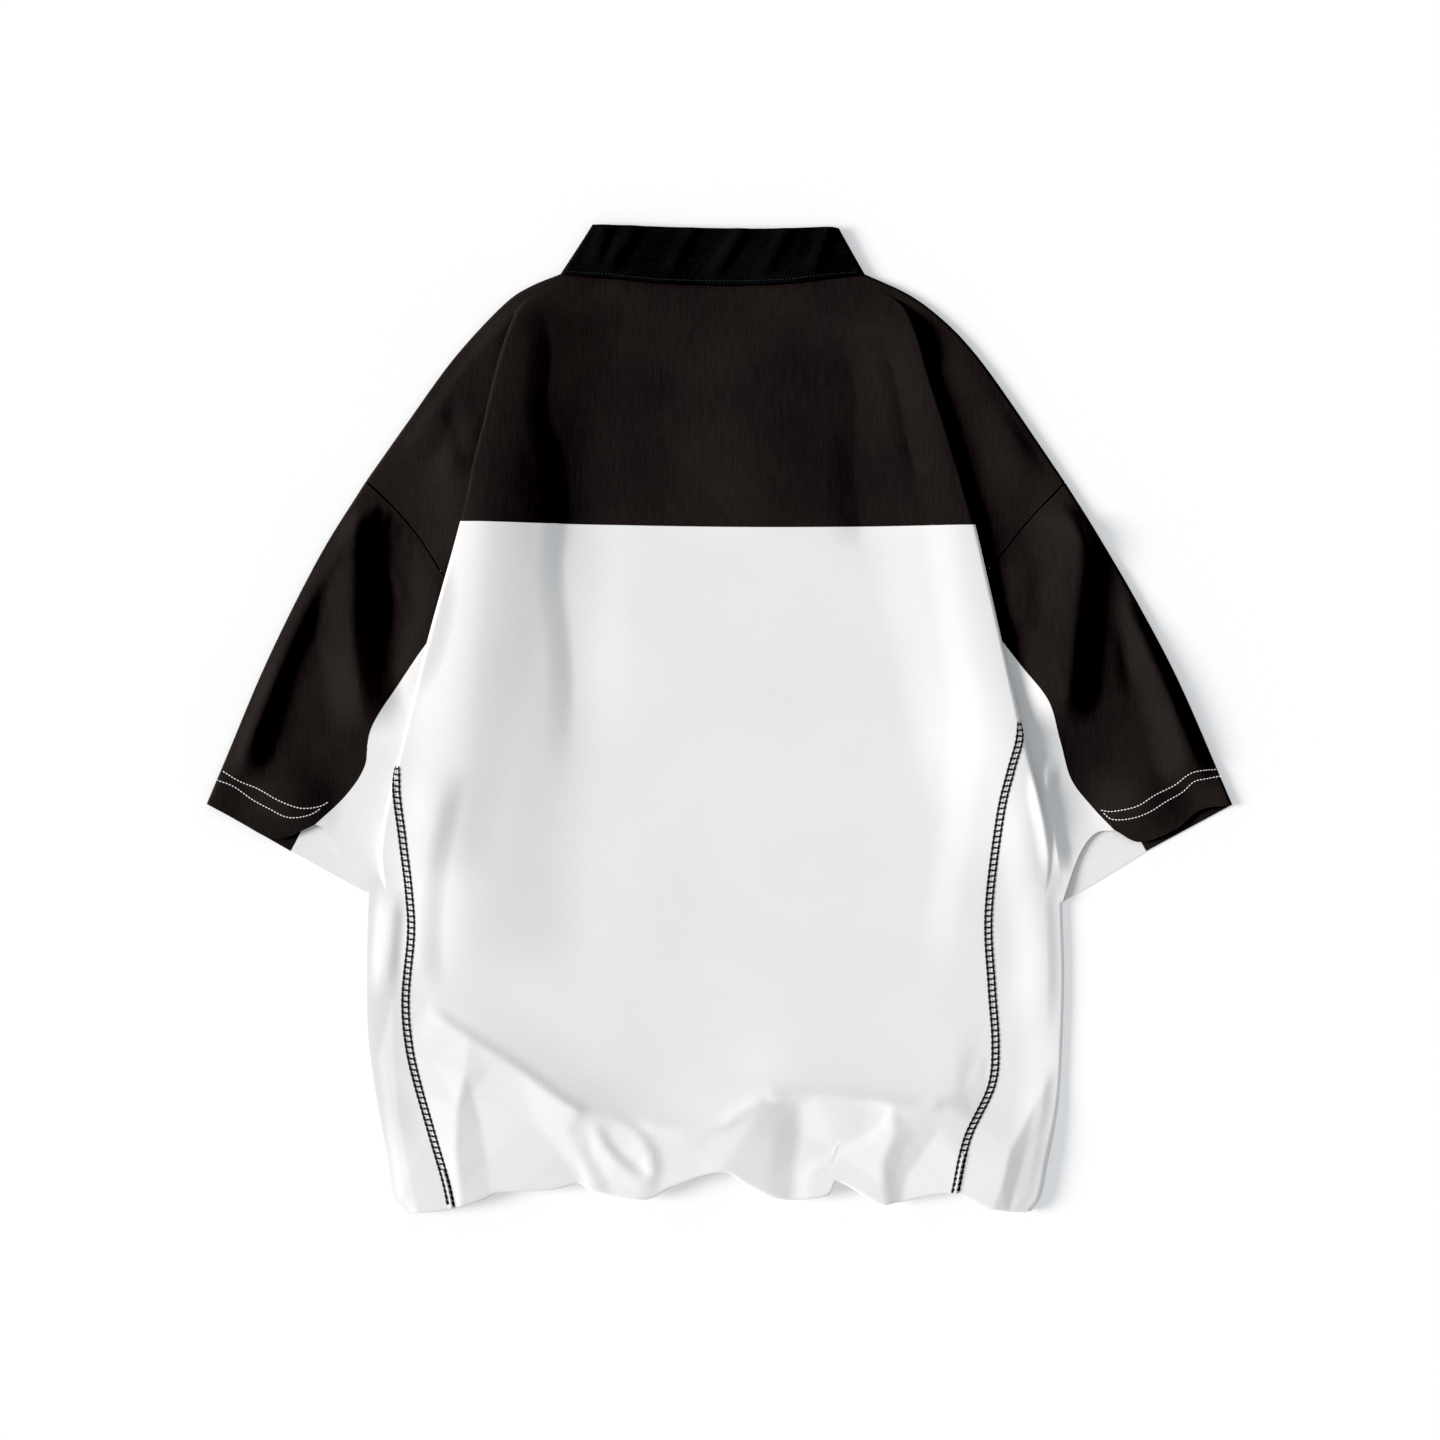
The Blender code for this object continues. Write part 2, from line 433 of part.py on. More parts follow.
def hem_facets():
    """Table of the hem's lift: flat facets below its crest, and a slope that settles above it."""
    corners, lifts, edges = hem_corners()
    found = delaunay_2d_cdt([Vector(corner) for corner in corners], edges, [], 0, 0.01)
    places = np.array([place[:] for place in found[0]])
    heights = []
    for place, source in zip(places, found[3]):
        nearest = np.argmin(np.hypot(*(np.array(corners) - place).T))
        heights.append(lifts[source[0] if source else nearest])
    x, y = np.meshgrid(HEM_ACROSS, HEM_UP)
    lift = np.zeros_like(x)
    for face in found[2]:
        a, b, c = places[face]
        za, zb, zc = [heights[k] for k in face]
        size = (b[0] - a[0]) * (c[1] - a[1]) - (c[0] - a[0]) * (b[1] - a[1])
        if abs(size) > 0.0001:
            s = ((x - a[0]) * (c[1] - a[1]) - (c[0] - a[0]) * (y - a[1])) / size
            t = ((b[0] - a[0]) * (y - a[1]) - (x - a[0]) * (b[1] - a[1])) / size
            inside = (s >= -0.0001) & (t >= -0.0001) & (s + t <= 1.0001)
            lift[inside] = (za + s * (zb - za) + t * (zc - za))[inside]
    crest = np.array(HEM_LINES["crest"])
    crest_y = np.interp(HEM_ACROSS, crest[:, 0], crest[:, 1])
    crest_z = np.interp(HEM_ACROSS, crest[:, 0], crest[:, 2])
    soft_y = softened(crest_y, HEM_EVEN_OUT)
    soft_z = softened(crest_z, HEM_EVEN_OUT) * ease((HEM_ACROSS - crest[0, 0]) / HEM_CREST_ENDS)
    soft_z *= ease((crest[-1, 0] - HEM_ACROSS) / HEM_CREST_ENDS)
    far = 1 - np.clip((y - soft_y) / HEM_REACH, 0, 1)
    near = 1 - np.clip((y - crest_y) / HEM_SHARP_REACH, 0, 1)
    at_crest = soft_z * (1 - np.clip((crest_y - soft_y) / HEM_REACH, 0, 1)) ** 2
    above = soft_z * far ** 2 + (crest_z - at_crest) * near ** 2
    over = (y > crest_y) & (x > crest[0, 0]) & (x < crest[-1, 0])
    return rounded(np.where(over, above, lift), HEM_ROUNDING)


HEM_TABLE = hem_facets()


def hem_lift(x, y):
    at_x = np.clip(x - HEM_ACROSS[0], 0, len(HEM_ACROSS) - 1.001)
    at_y = np.clip(y - HEM_UP[0], 0, len(HEM_UP) - 1.001)
    column = at_x.astype(int)
    row = at_y.astype(int)
    s = at_x - column
    t = at_y - row
    low = HEM_TABLE[row, column] * (1 - s) + HEM_TABLE[row, column + 1] * s
    high = HEM_TABLE[row + 1, column] * (1 - s) + HEM_TABLE[row + 1, column + 1] * s
    return low * (1 - t) + high * t


def round_height(x, y):
    """Half height of the tube that an outer fold makes, for the points close to it."""
    radius = edge_radius(y)
    inside = np.clip(edge_distance(x, y), 0, radius)
    return radius, np.sqrt(radius ** 2 - (radius - inside) ** 2)


def upper_height(x, y):
    distance = edge_distance(x, y)
    radius, half = round_height(x, y)
    hem = 1 - ease((y - np.interp(x, HEM_RUN, HEM_SOFT) - 2 * HEM_ROWS) / HEM_RISE)
    level = LEVEL + (HEM_LEVEL - LEVEL) * hem
    flat = 2 * radius + (level - 2 * radius) * ease((distance - radius) / EDGE_BLEND)
    lift = (ridge_height(x, y) + hem_lift(x, y)) * ease(distance / RIDGE_EDGE_FADE)
    return FLOOR_MID + np.where(distance < radius, radius + half, flat) + lift


def lower_height(x, y):
    radius, half = round_height(x, y)
    return FLOOR_MID + radius - half


# ---- the long folds ----------------------------------------------------------------------------------

class Fold:
    """One long fold. Distances along its section start where the body's cloth starts to turn."""

    def __init__(self, side):
        self.sign = SIGN[side]
        self.line = smooth_line(CREST[side])[::-1]
        self.table = np.array(FOLD[side], dtype=float)[::-1]
        self.cover = smooth_line(COVER_SEAM[side])[::-1]
        self.climb = SEAM_CLIMB[side]

    def sizes(self, y):
        depth = np.interp(y, self.table[:, 0], self.table[:, 1])
        turn = np.radians(np.interp(y, self.table[:, 0], self.table[:, 2]))
        return depth, turn

    def start(self, y):
        """Outward distance from the middle of the shirt to the start of the turn."""
        crest = self.sign * np.interp(y, self.line[:, 1], self.line[:, 0])
        return crest - CREST_RADIUS * np.sin(np.minimum(self.sizes(y)[1], math.pi / 2))

    def section(self, d, y):
        """Outward run and drop of the cloth at distance d along the section."""
        depth, turn = self.sizes(y)
        crest = CREST_RADIUS * turn
        back = crest + depth
        end = back + UNDER_RADIUS * turn
        first = np.clip(d, 0, crest) / CREST_RADIUS
        middle = np.clip(d - crest, 0, depth)
        last = turn - np.clip(d - back, 0, end - back) / UNDER_RADIUS
        run = (np.minimum(d, 0) + CREST_RADIUS * np.sin(first) + middle * np.cos(turn)
               + UNDER_RADIUS * (np.sin(turn) - np.sin(last)) + np.maximum(d - end, 0))
        drop = (CREST_RADIUS * (1 - np.cos(first)) + middle * np.sin(turn)
                + UNDER_RADIUS * (np.cos(last) - np.cos(turn)))
        return run, drop

    def columns(self, y):
        """Distances of the section's columns: lead, crest turn, way back, under turn."""
        depth, turn = self.sizes(y)
        parts = [(0.0, LEAD, 1)]
        spare = np.maximum(0, FOLD_LEAST - depth - (CREST_RADIUS + UNDER_RADIUS) * turn)
        share = spare / 3
        parts += [(None, CREST_RADIUS * turn + share, CREST_STEPS), (None, depth + share, BACK_STEPS),
                  (None, UNDER_RADIUS * turn + share, UNDER_STEPS)]
        found = [-LEAD + 0 * turn]
        for _, size, steps in parts:
            for _ in range(steps):
                found.append(found[-1] + size / steps)
        return np.stack(found, axis=0)

    def drop_all(self, y):
        depth, turn = self.sizes(y)
        return (CREST_RADIUS + UNDER_RADIUS) * (1 - np.cos(turn)) + depth * np.sin(turn)

    def lift(self, x, y):
        """How far the fold holds the body up."""
        inward = self.start(y) - self.sign * x
        return self.drop_all(y) * (1 - ease(inward / LIFT_WIDTH))

    def point(self, d, y):
        """Place of the cloth at distance d along the section at y."""
        run, drop = self.section(d, y)
        x = self.sign * (self.start(y) + run)
        lift = np.where(d <= 0, self.lift(x, y), self.drop_all(y) - drop)
        return np.stack([x, y, upper_height(x, y) + lift], axis=-1)

    def seam(self, y):
        """Distance along the section to the cover seam at y."""
        y = np.asarray(y, dtype=float)
        hidden = self.columns(y)[1 + CREST_STEPS + BACK_STEPS]
        low, out = self.climb
        share = np.clip((y - out) / (low - out), 0, 1)
        cover = self.sign * np.interp(y, self.cover[:, 1], self.cover[:, 0])
        start = self.start(y)
        turned = CREST_RADIUS * np.arcsin(np.clip((cover - start) / CREST_RADIUS, 0, 1))
        shown = np.where(cover > start, turned, cover - start)
        return np.where(y > out, shown + (hidden - shown) * share, shown)


FOLDS = {side: Fold(side) for side in SIGN}
INNER = 1 + CREST_STEPS + BACK_STEPS  # columns of a fold up to its under turn
ALL = INNER + UNDER_STEPS


def body_points(plan):
    """The body between the two folds."""
    x, y = plan[..., 0], plan[..., 1]
    lift = sum(fold.lift(x, y) for fold in FOLDS.values())
    return np.dstack([x, y, upper_height(x, y) + lift])


def raised(plan, height):
    x, y = plan[..., 0], plan[..., 1]
    return np.dstack([x, y, height(x, y)])


# ---- grids -------------------------------------------------------------------------------------------

def fractions_of(line):
    run = lengths(line)
    return run / run[-1]


def between_outlines(top, bottom, left, right, top_reach=1.0):
    """Rows run from left to right, and the first is the top. The bows of the top and bottom outlines
    shrink with the rows' widths and die away over the patch, the top's over the given share of it."""
    u = ((fractions_of(top) + fractions_of(bottom)) / 2)[None, :, None]
    v = ((fractions_of(left) + fractions_of(right)) / 2)[:, None, None]
    across = (1 - u) * left[:, None] + u * right[:, None]
    width = np.linalg.norm(right - left, axis=1)[:, None, None]
    top_bow = (top - (1 - u[0]) * top[0] - u[0] * top[-1]) * width / width[0]
    bottom_bow = (bottom - (1 - u[0]) * bottom[0] - u[0] * bottom[-1]) * width / width[-1]
    return across + top_bow * np.clip(1 - v / top_reach, 0, 1) + bottom_bow * v


def edge_columns(width, radius, count):
    """Fractions of a row that starts on an outer fold: two close steps round it, then even ones."""
    near = min(radius, 0.4 * width) / width
    return np.concatenate([[0, 0.25 * near], np.linspace(near, 1, count)])


def inset(points, first_row=0.0, last_row=0.0, first_column=0.0, last_column=0.0):
    """Draws the edges of a grid back, square to each edge, by one size or one for each point."""
    def pulled(edge, inner, size):
        along = np.gradient(edge, axis=0)
        along /= np.linalg.norm(along, axis=-1, keepdims=True)
        step = inner - edge
        step -= (step * along).sum(-1, keepdims=True) * along
        step /= np.linalg.norm(step, axis=-1, keepdims=True)
        return edge + step * np.broadcast_to(size, len(edge))[:, None]
    p = points.copy()
    p[0] = pulled(p[0], p[1], first_row)
    p[-1] = pulled(p[-1], p[-2], last_row)
    p[:, 0] = pulled(p[:, 0], p[:, 1], first_column)
    p[:, -1] = pulled(p[:, -1], p[:, -2], last_column)
    return p


def seam_insets(y):
    return np.where(y > HIDDEN_SEAM_Y, HIDDEN_INSET, SEAM_INSET)


def turned_under(points):
    """The hem's turned-under edge: round the bottom edge and two rows back up, inside the shirt."""
    down = np.gradient(points, axis=0)
    across = np.gradient(points, axis=1)
    normal = np.cross(across, down)
    normal /= np.linalg.norm(normal, axis=-1, keepdims=True)
    edge, inward = points[-1], normal[-1]
    out = down[-1] - (down[-1] * inward).sum(-1, keepdims=True) * inward
    out /= np.linalg.norm(out, axis=-1, keepdims=True)
    rows = [edge]
    for k in range(1, TURN_STEPS):
        angle = math.pi * k / TURN_STEPS
        rows.append(edge + inward * TURN / 2 * (1 - math.cos(angle)) + out * TURN / 2 * math.sin(angle))
    rows += [points[row] + normal[row] * TURN for row in (-1, -2, -3)]
    return np.stack(rows)


# ---- objects -----------------------------------------------------------------------------------------

def cloth_material(name, colour):
    material = bpy.data.materials.new(name)
    material.use_nodes = True
    shader = material.node_tree.nodes["Principled BSDF"]
    shader.inputs["Base Color"].default_value = colour
    shader.inputs["Roughness"].default_value = 0.85
    shader.inputs["Metallic"].default_value = 0.0
    return material


def laid_grid(bm, points):
    """Adds a grid primitive and lays its points on an array of places."""
    rows, columns = points.shape[:2]
    made = bmesh.ops.create_grid(bm, x_segments=columns - 1, y_segments=rows - 1, size=1.0)
    for vertex in made["verts"]:
        column = round((vertex.co.x + 1) / 2 * (columns - 1))
        row = round((1 - vertex.co.y) / 2 * (rows - 1))
        vertex.co = points[row, column] * MM


def cloth_object(name, grids, colour, collection, wall=CLOTH):
    """Joins the grids of one piece along their shared edges and gives the sheet its wall."""
    bm = bmesh.new()
    for points in grids:
        laid_grid(bm, points)
    bmesh.ops.remove_doubles(bm, verts=bm.verts, dist=0.00001)
    bmesh.ops.recalc_face_normals(bm, faces=bm.faces)
    mesh = bpy.data.meshes.new(name)
    bm.to_mesh(mesh)
    bm.free()
    mesh.shade_smooth()
    mesh.materials.append(cloth_material(name + "_cloth", colour))
    piece = bpy.data.objects.new(name, mesh)
    collection.objects.link(piece)
    solid = piece.modifiers.new("wall", "SOLIDIFY")
    solid.thickness = wall * MM
    solid.offset = 0.0
    return piece


# ---- pieces ------------------------------------------------------------------------------------------

def fold_strip(fold, y_body, y_edge, columns, stretch):
    """Rows across a fold. y runs from the body's to the edge's over the inner columns."""
    rows = []
    for body, edge, scale in zip(y_body, y_edge, stretch):
        y = np.append(body + (edge - body) * FOLD_SHARES, [edge] * UNDER_STEPS)[:columns + 1]
        table = fold.columns(y)
        d = np.array([table[k, k] for k in range(columns + 1)])
        rows.append(fold.point(-LEAD + (d + LEAD) * scale, y))
    return np.stack(rows)


def outer_guide(fold, y):
    """Plan of the line where the cloth comes out of a fold, under the body."""
    return fold.point(fold.columns(y)[-1], y)


def yoke_outside(side):
    """The back yoke from its shoulder edge to the fold."""
    fold = FOLDS[side]
    top = fold.line[-1, 1]
    meet = ARMHOLE_BACK[side][-1][1]
    y = top + (meet - top) * YOKE_ROWS
    right = outer_guide(fold, y)[:, :2]
    line = smooth_line(SHOULDER[side])[::-1]
    run = YOKE_ROWS * (1 + SHOULDER_RUN * (1 - YOKE_ROWS))
    shoulder_y = line[-1, 1] + (line[0, 1] - line[-1, 1]) * run
    shoulder = np.column_stack([np.interp(shoulder_y, line[:, 1], line[:, 0]), shoulder_y])
    plan = np.empty((len(y), ARMHOLE_COLUMNS + 2, 2))
    armhole = smooth_line(ARMHOLE_BACK[side])
    armhole[-1] = right[-1]
    for row in range(len(y)):
        width = np.linalg.norm(right[row] - shoulder[row])
        steps = edge_columns(width, EDGE_RADIUS, ARMHOLE_COLUMNS)
        plan[row] = straight(shoulder[row], right[row], steps)
        bulge = resample(armhole, steps) - straight(shoulder[-1], right[-1], steps)
        plan[row] += bulge * YOKE_ROWS[row] ** 2
    return raised(plan, upper_height)


def back_yoke(collection):
    parts = []
    guides = {}
    for side, fold in FOLDS.items():
        top = fold.line[-1, 1]
        seam = YOKE_SEAM[0][1] if side == "left" else YOKE_SEAM[-1][1]
        y_body = top + (seam - top) * YOKE_ROWS
        y_edge = top + (ARMHOLE_BACK[side][-1][1] - top) * YOKE_ROWS
        strip = fold_strip(fold, y_body, y_edge, ALL, np.ones(len(y_body)))
        guides[side] = strip[:, 0, :2]
        outside = yoke_outside(side)
        if side == "left":
            parts.append(np.hstack([outside, strip[:, ::-1][:, 1:]]))
        else:
            parts.append(np.hstack([strip, outside[:, ::-1][:, 1:]]))
    spread = body_spread()
    neck = smooth_line(NECK_BACK)
    top = clip_line(neck, guides["left"][0], guides["right"][0], spread)
    bottom = clip_line(smooth_line(YOKE_SEAM), guides["left"][-1], guides["right"][-1], spread)
    body = body_points(between_outlines(top, bottom, guides["left"], guides["right"]))
    whole = np.hstack([parts[0], body[:, 1:-1], parts[1]])
    hidden = len(whole[0]) - len(body[0]) - 2 * (1 + CREST_STEPS)
    bottom_inset = np.full(len(whole[0]), SEAM_INSET)
    bottom_inset[:hidden // 2 + 1] = HIDDEN_INSET
    bottom_inset[-hidden // 2 - 1:] = HIDDEN_INSET
    whole = inset(whole, SEAM_INSET, bottom_inset, HIDDEN_INSET, HIDDEN_INSET)
    return cloth_object("back_yoke", [whole], BLACK, collection)


def body_spread():
    """Fractions across the body, closer together near the folds than in the flat middle."""
    t = np.linspace(0, 1, BODY_COLUMNS + 1)
    return t - BODY_SPREAD * np.sin(2 * math.pi * t)


def clip_line(line, start, end, fractions):
    """The stretch of a line that runs from one end point to another, in +X order."""
    keep = line[(line[:, 0] > start[0] + CLIP_MARGIN) & (line[:, 0] < end[0] - CLIP_MARGIN)]
    return resample(np.vstack([start, keep, end]), fractions)


def seam_rows(side):
    """y of the rows along the back cover seam."""
    meet = ARMHOLE_BACK[side][-1][1]
    out = SEAM_CLIMB[side][1]
    arm = SIDE_EDGE[side][0][1]
    end = hem_y(COVER_SEAM[side][-1][0], HEM_BACK_LINE)
    last = end + 3 * HEM_ROWS
    return np.concatenate([meet + (out - meet) * ROWS_TO_SEAM, out + (arm - out) * ROWS_TO_ARM,
                           np.linspace(arm, last, ROWS_TO_HEM + 1)[1:], last - HEM_ROWS * np.arange(1, 4)])


def panel_strip(side):
    """The back panel's part of a fold: round the crest and back under the body, to the cover seam."""
    fold = FOLDS[side]
    y_edge = seam_rows(side)
    rise = (YOKE_SEAM[0][1] if side == "left" else YOKE_SEAM[-1][1]) - y_edge[0]
    y_body = y_edge + rise * (1 - ease(np.arange(len(y_edge)) / RISE_ROWS))
    inner = fold.columns(y_edge)[INNER]
    seam = fold.seam(y_edge)
    lead = np.minimum(0, seam) - LEAD
    rows = []
    for k, y_row in enumerate(zip(y_body, y_edge)):
        y = y_row[0] + (y_row[1] - y_row[0]) * FOLD_SHARES
        table = fold.columns(y)
        d = np.array([table[j, j] for j in range(INNER + 1)])
        share = (d + LEAD) / (inner[k] + LEAD)
        rows.append(fold.point(lead[k] + (seam[k] - lead[k]) * share, y))
    return np.stack(rows)


def hem_snap(points, line):
    """Moves the last rows of a grid so that they follow the hem's outline at even depths."""
    p = points.copy()
    x = p[-1, :, 0]
    shift = hem_y(x, line) - p[-1, :, 1]
    for back, share in enumerate(HEM_SNAP_SHARES):
        p[-1 - back, :, 1] += shift * share
    return p


def back_panel(collection):
    strips = {side: panel_strip(side) for side in SIGN}
    left, right = strips["left"][:, 0, :2], strips["right"][:, 0, :2]
    spread = body_spread()
    top = clip_line(smooth_line(YOKE_SEAM), left[0], right[0], spread)
    bottom = straight(left[-1], right[-1], spread)
    plan = between_outlines(top, bottom, left, right)
    plan = np.hstack([strips["left"][:, ::-1][:, :-1, :2], plan, strips["right"][:, 1:, :2]])
    moved = hem_snap(plan, HEM_BACK_LINE)
    body = body_points(moved)
    whole = replace_strips(body, strips)
    top_inset = np.full(len(whole[0]), SEAM_INSET)
    top_inset[:BACK_STEPS + 2] = HIDDEN_INSET
    top_inset[-BACK_STEPS - 2:] = HIDDEN_INSET
    shown = inset(whole, top_inset, 0, seam_insets(whole[:, 0, 1]), seam_insets(whole[:, -1, 1]))
    return cloth_object("back_panel", [shown, turned_under(shown)], WHITE, collection)


def replace_strips(body, strips):
    """Puts the folded columns back where the fold has a depth. Lower down the sheet is single."""
    whole = body.copy()
    rows = len(body) - HEM_SNAP_ROWS
    whole[:rows, :INNER + 1] = strips["left"][:rows, ::-1]
    whole[:rows, -INNER - 1:] = strips["right"][:rows]
    return whole


def side_upper(side):
    """Upper half of a side piece: cover seam, fold, under-sleeve and outer fold."""
    fold = FOLDS[side]
    y = seam_rows(side)
    seam = fold.seam(y)
    table = fold.columns(y)
    end = table[-1]
    scale = (end - seam) / (end + LEAD)
    d = end - (end - table) * scale
    strip = fold.point(d.T, np.repeat(y[:, None], ALL + 1, axis=1))
    guide = strip[:, -1, :2]
    cuff = spaced(GUSSET_CUFF_BACK[side], ARM_ROWS)
    edge = side_edge_rows(side, y[ARM_ROWS:])
    outer = np.vstack([cuff, edge[1:]])
    under = smooth_line(UNDER_SEAM_BACK[side])
    under[0] = guide[0]
    top = resample(under, np.linspace(0, 1, SLEEVE_ROWS + 1))
    bottom = straight(guide[-1], outer[-1], np.linspace(0, 1, SLEEVE_ROWS + 1))
    plan = between_outlines(top, bottom, guide, outer, top_reach=UNDER_SEAM_REACH)
    plan = edge_spacing(plan, ARM_ROWS)
    outside = raised(plan, upper_height)
    return np.hstack([strip, outside[:, 1:]]), outer


def side_edge_rows(side, y):
    """Points of the outer fold at the rows' heights, from the under-arm to the hem's corner."""
    line = smooth_line(SIDE_EDGE[side])
    share = (y - y[0]) / (y[-1] - y[0])
    return resample(line, share)


def edge_spacing(plan, arm_rows):
    """Moves every row's columns up to its outer end and adds one, so that they go round the outer fold.
    The first row keeps its even columns."""
    count = plan.shape[1] - 1
    rows = []
    for k, row in enumerate(plan):
        width = lengths(row)[-1]
        share = min(k / arm_rows, 1)
        near = (1 - share) / count + share * min(edge_radius(row[-1, 1]), 0.4 * width) / width
        steps = np.linspace(0, 1 - near, count)
        rows.append(resample(row, np.append(steps, [1 - 0.25 * near, 1])))
    return np.stack(rows)


def side_lower(side, outer, y):
    """Front half of a side piece, on the table."""
    cuff = straight(CUFF_FRONT[side][1], CUFF_FRONT[side][2], np.linspace(0, 1, ARM_ROWS + 1))
    edge = np.vstack([cuff, outer[ARM_ROWS + 1:]])
    inner = resample(smooth_line(COVER_SEAM_FRONT[side]), (y - y[0]) / (y[-1] - y[0]))
    steps = np.linspace(0, 1, SIDE_LOWER_COLUMNS + 1)
    top = straight(inner[0], edge[0], steps)
    bottom = straight(inner[-1], edge[-1], steps)
    plan = between_outlines(top, bottom, inner, edge)
    return edge_spacing(plan, ARM_ROWS)


def side_piece(side, collection):
    y = seam_rows(side)
    upper, outer = side_upper(side)
    low_plan = side_lower(side, outer, y)
    upper_plan = hem_snap(upper[..., :2], HEM_BACK_LINE)
    changed = raised(upper_plan, upper_height)
    upper[-HEM_SNAP_ROWS:] = changed[-HEM_SNAP_ROWS:]
    low_plan = hem_snap(low_plan, HEM_FRONT_LINE)
    low_plan[-HEM_SNAP_ROWS:, -1] = upper[-HEM_SNAP_ROWS:, -1, :2]
    lower = raised(low_plan, lower_height)
    lower[ARM_ROWS:, -1] = upper[ARM_ROWS:, -1]
    upper = inset(upper, SEAM_INSET, 0, seam_insets(y))
    lower = inset(lower, SEAM_INSET, 0, SEAM_INSET)
    hems = [upper[-HEM_SNAP_ROWS:, :-2], lower[-HEM_SNAP_ROWS:, :-2]]
    if side == "left":
        hems[0] = hems[0][:, ::-1]
    else:
        hems[1] = hems[1][:, ::-1]
    grids = [upper, lower] + [turned_under(hem) for hem in hems]
    return cloth_object("side_" + side, grids, WHITE, collection)


def sleeve(side, collection):
    """One sleeve, from the back under-seam round the outer fold to the front under-seam."""
    fold = FOLDS[side]
    meet = outer_guide(fold, np.array([ARMHOLE_BACK[side][-1][1]]))[0, :2]
    armhole = smooth_line(ARMHOLE_BACK[side])
    armhole[-1] = meet
    under = smooth_line(UNDER_SEAM_BACK[side])
    under[0] = meet
    rows = np.linspace(0, 1, SLEEVE_ROWS + 1)
    inner = resample(under, rows)
    edge = resample(smooth_line(SLEEVE_EDGE[side]), rows)
    width = np.linalg.norm(meet - edge[0])
    steps = edge_columns(width, EDGE_RADIUS, ARMHOLE_COLUMNS)
    top = resample(armhole, steps)
    bottom = resample(smooth_line(CUFF_BACK[side]), steps)
    upper = raised(between_outlines(top, bottom, edge, inner), upper_height)
    low_steps = edge_columns(width, EDGE_RADIUS, SLEEVE_LOWER_COLUMNS)
    low_inner = straight(FRONT_MEETING[side], CUFF_FRONT[side][1], rows)
    low_top = straight(edge[0], FRONT_MEETING[side], low_steps)
    low_bottom = straight(CUFF_FRONT[side][0], CUFF_FRONT[side][1], low_steps)
    lower = raised(between_outlines(low_top, low_bottom, edge, low_inner), lower_height)
    lower[:, 0] = upper[:, 0]
    whole = np.hstack([upper[:, ::-1], lower[:, 1:]])
    top_inset = np.full(len(whole[0]), SEAM_INSET)
    top_inset[ARMHOLE_COLUMNS - 2:] = HIDDEN_INSET
    whole = inset(whole, top_inset, 0, SEAM_INSET, SEAM_INSET)
    return cloth_object("sleeve_" + side, [whole], BLACK, collection)


def front_yoke(collection):
    shoulder_rows, armhole_rows = FRONT_YOKE_ROWS
    outlines = {}
    for side in SIGN:
        shoulder = spaced(SHOULDER[side], shoulder_rows)
        armhole = straight(SHOULDER[side][-1], FRONT_MEETING[side], np.linspace(0, 1, armhole_rows + 1))
        outlines[side] = np.vstack([shoulder, armhole[1:]])
    top = spaced(NECK_FRONT, FRONT_COLUMNS)
    bottom = spaced(YOKE_SEAM_FRONT, FRONT_COLUMNS)
    plan = between_outlines(top, bottom, outlines["left"], outlines["right"])
    plan = np.stack([both_edges(row) for row in plan])
    points = raised(plan, lower_height)
    points = inset(points, SEAM_INSET, SEAM_INSET, HIDDEN_INSET, HIDDEN_INSET)
    return cloth_object("front_yoke", [points], BLACK, collection)


def both_edges(row):
    """Adds close columns round both shoulder edges of a row."""
    width = lengths(row)[-1]
    near = EDGE_RADIUS / width
    first = resample(row, [0, 0.25 * near, near])
    last = resample(row, [1 - near, 1 - 0.25 * near, 1])
    return np.vstack([first, row[1:-1], last])


def front_panel(collection):
    rows = {}
    for side in SIGN:
        y = seam_rows(side)
        line = smooth_line(COVER_SEAM_FRONT[side])
        rows[side] = resample(line, (y - y[0]) / (y[-1] - y[0]))
    top = spaced(YOKE_SEAM_FRONT, FRONT_COLUMNS)
    bottom = straight(rows["left"][-1], rows["right"][-1], np.linspace(0, 1, FRONT_COLUMNS + 1))
    plan = hem_snap(between_outlines(top, bottom, rows["left"], rows["right"]), HEM_FRONT_LINE)
    points = raised(plan, lower_height)
    points = inset(points, SEAM_INSET, 0, SEAM_INSET, SEAM_INSET)
    inside = turned_under(points[:, ::-1])
    return cloth_object("front_panel", [points, inside[:, ::-1]], WHITE, collection)


def collar(collection):
    """A closed band, flattened: its back half stands over its front half."""
    steps_back = np.linspace(0, 1, COLLAR_BACK_COLUMNS + 1)
    steps_front = np.linspace(0, 1, COLLAR_FRONT_COLUMNS + 1)
    heights = np.linspace(0, 1, COLLAR_ROWS + 1)
    mid = COLLAR_WALL / 2
    back = []
    front = []
    for height in heights:
        row = collar_row(NECK_BACK, COLLAR_TOP_BACK, height, steps_back)
        radius, half = collar_round(row)
        x, y = row[:, 0], row[:, 1]
        flat = upper_height(x, np.minimum(y, COLLAR_SHELF_Y)) + COLLAR_RISE * height
        z = np.where(half < radius, mid + radius + half, np.maximum(flat, mid + 2 * EDGE_RADIUS))
        back.append(np.column_stack([row, z]))
        low = collar_row(NECK_FRONT, COLLAR_TOP_FRONT, height, steps_front)
        radius, half = collar_round(low)
        front.append(np.column_stack([low, mid + radius - half]))
    upper = np.stack(back)
    lower = np.stack(front)
    lower[:, 0] = upper[:, 0]
    lower[:, -1] = upper[:, -1]
    ring = np.hstack([upper, lower[:, ::-1][:, 1:]])
    ring = inset(ring, first_row=HIDDEN_INSET)
    ring[:, -1] = ring[:, 0]
    return cloth_object("collar", [ring], BLACK, collection, COLLAR_WALL)


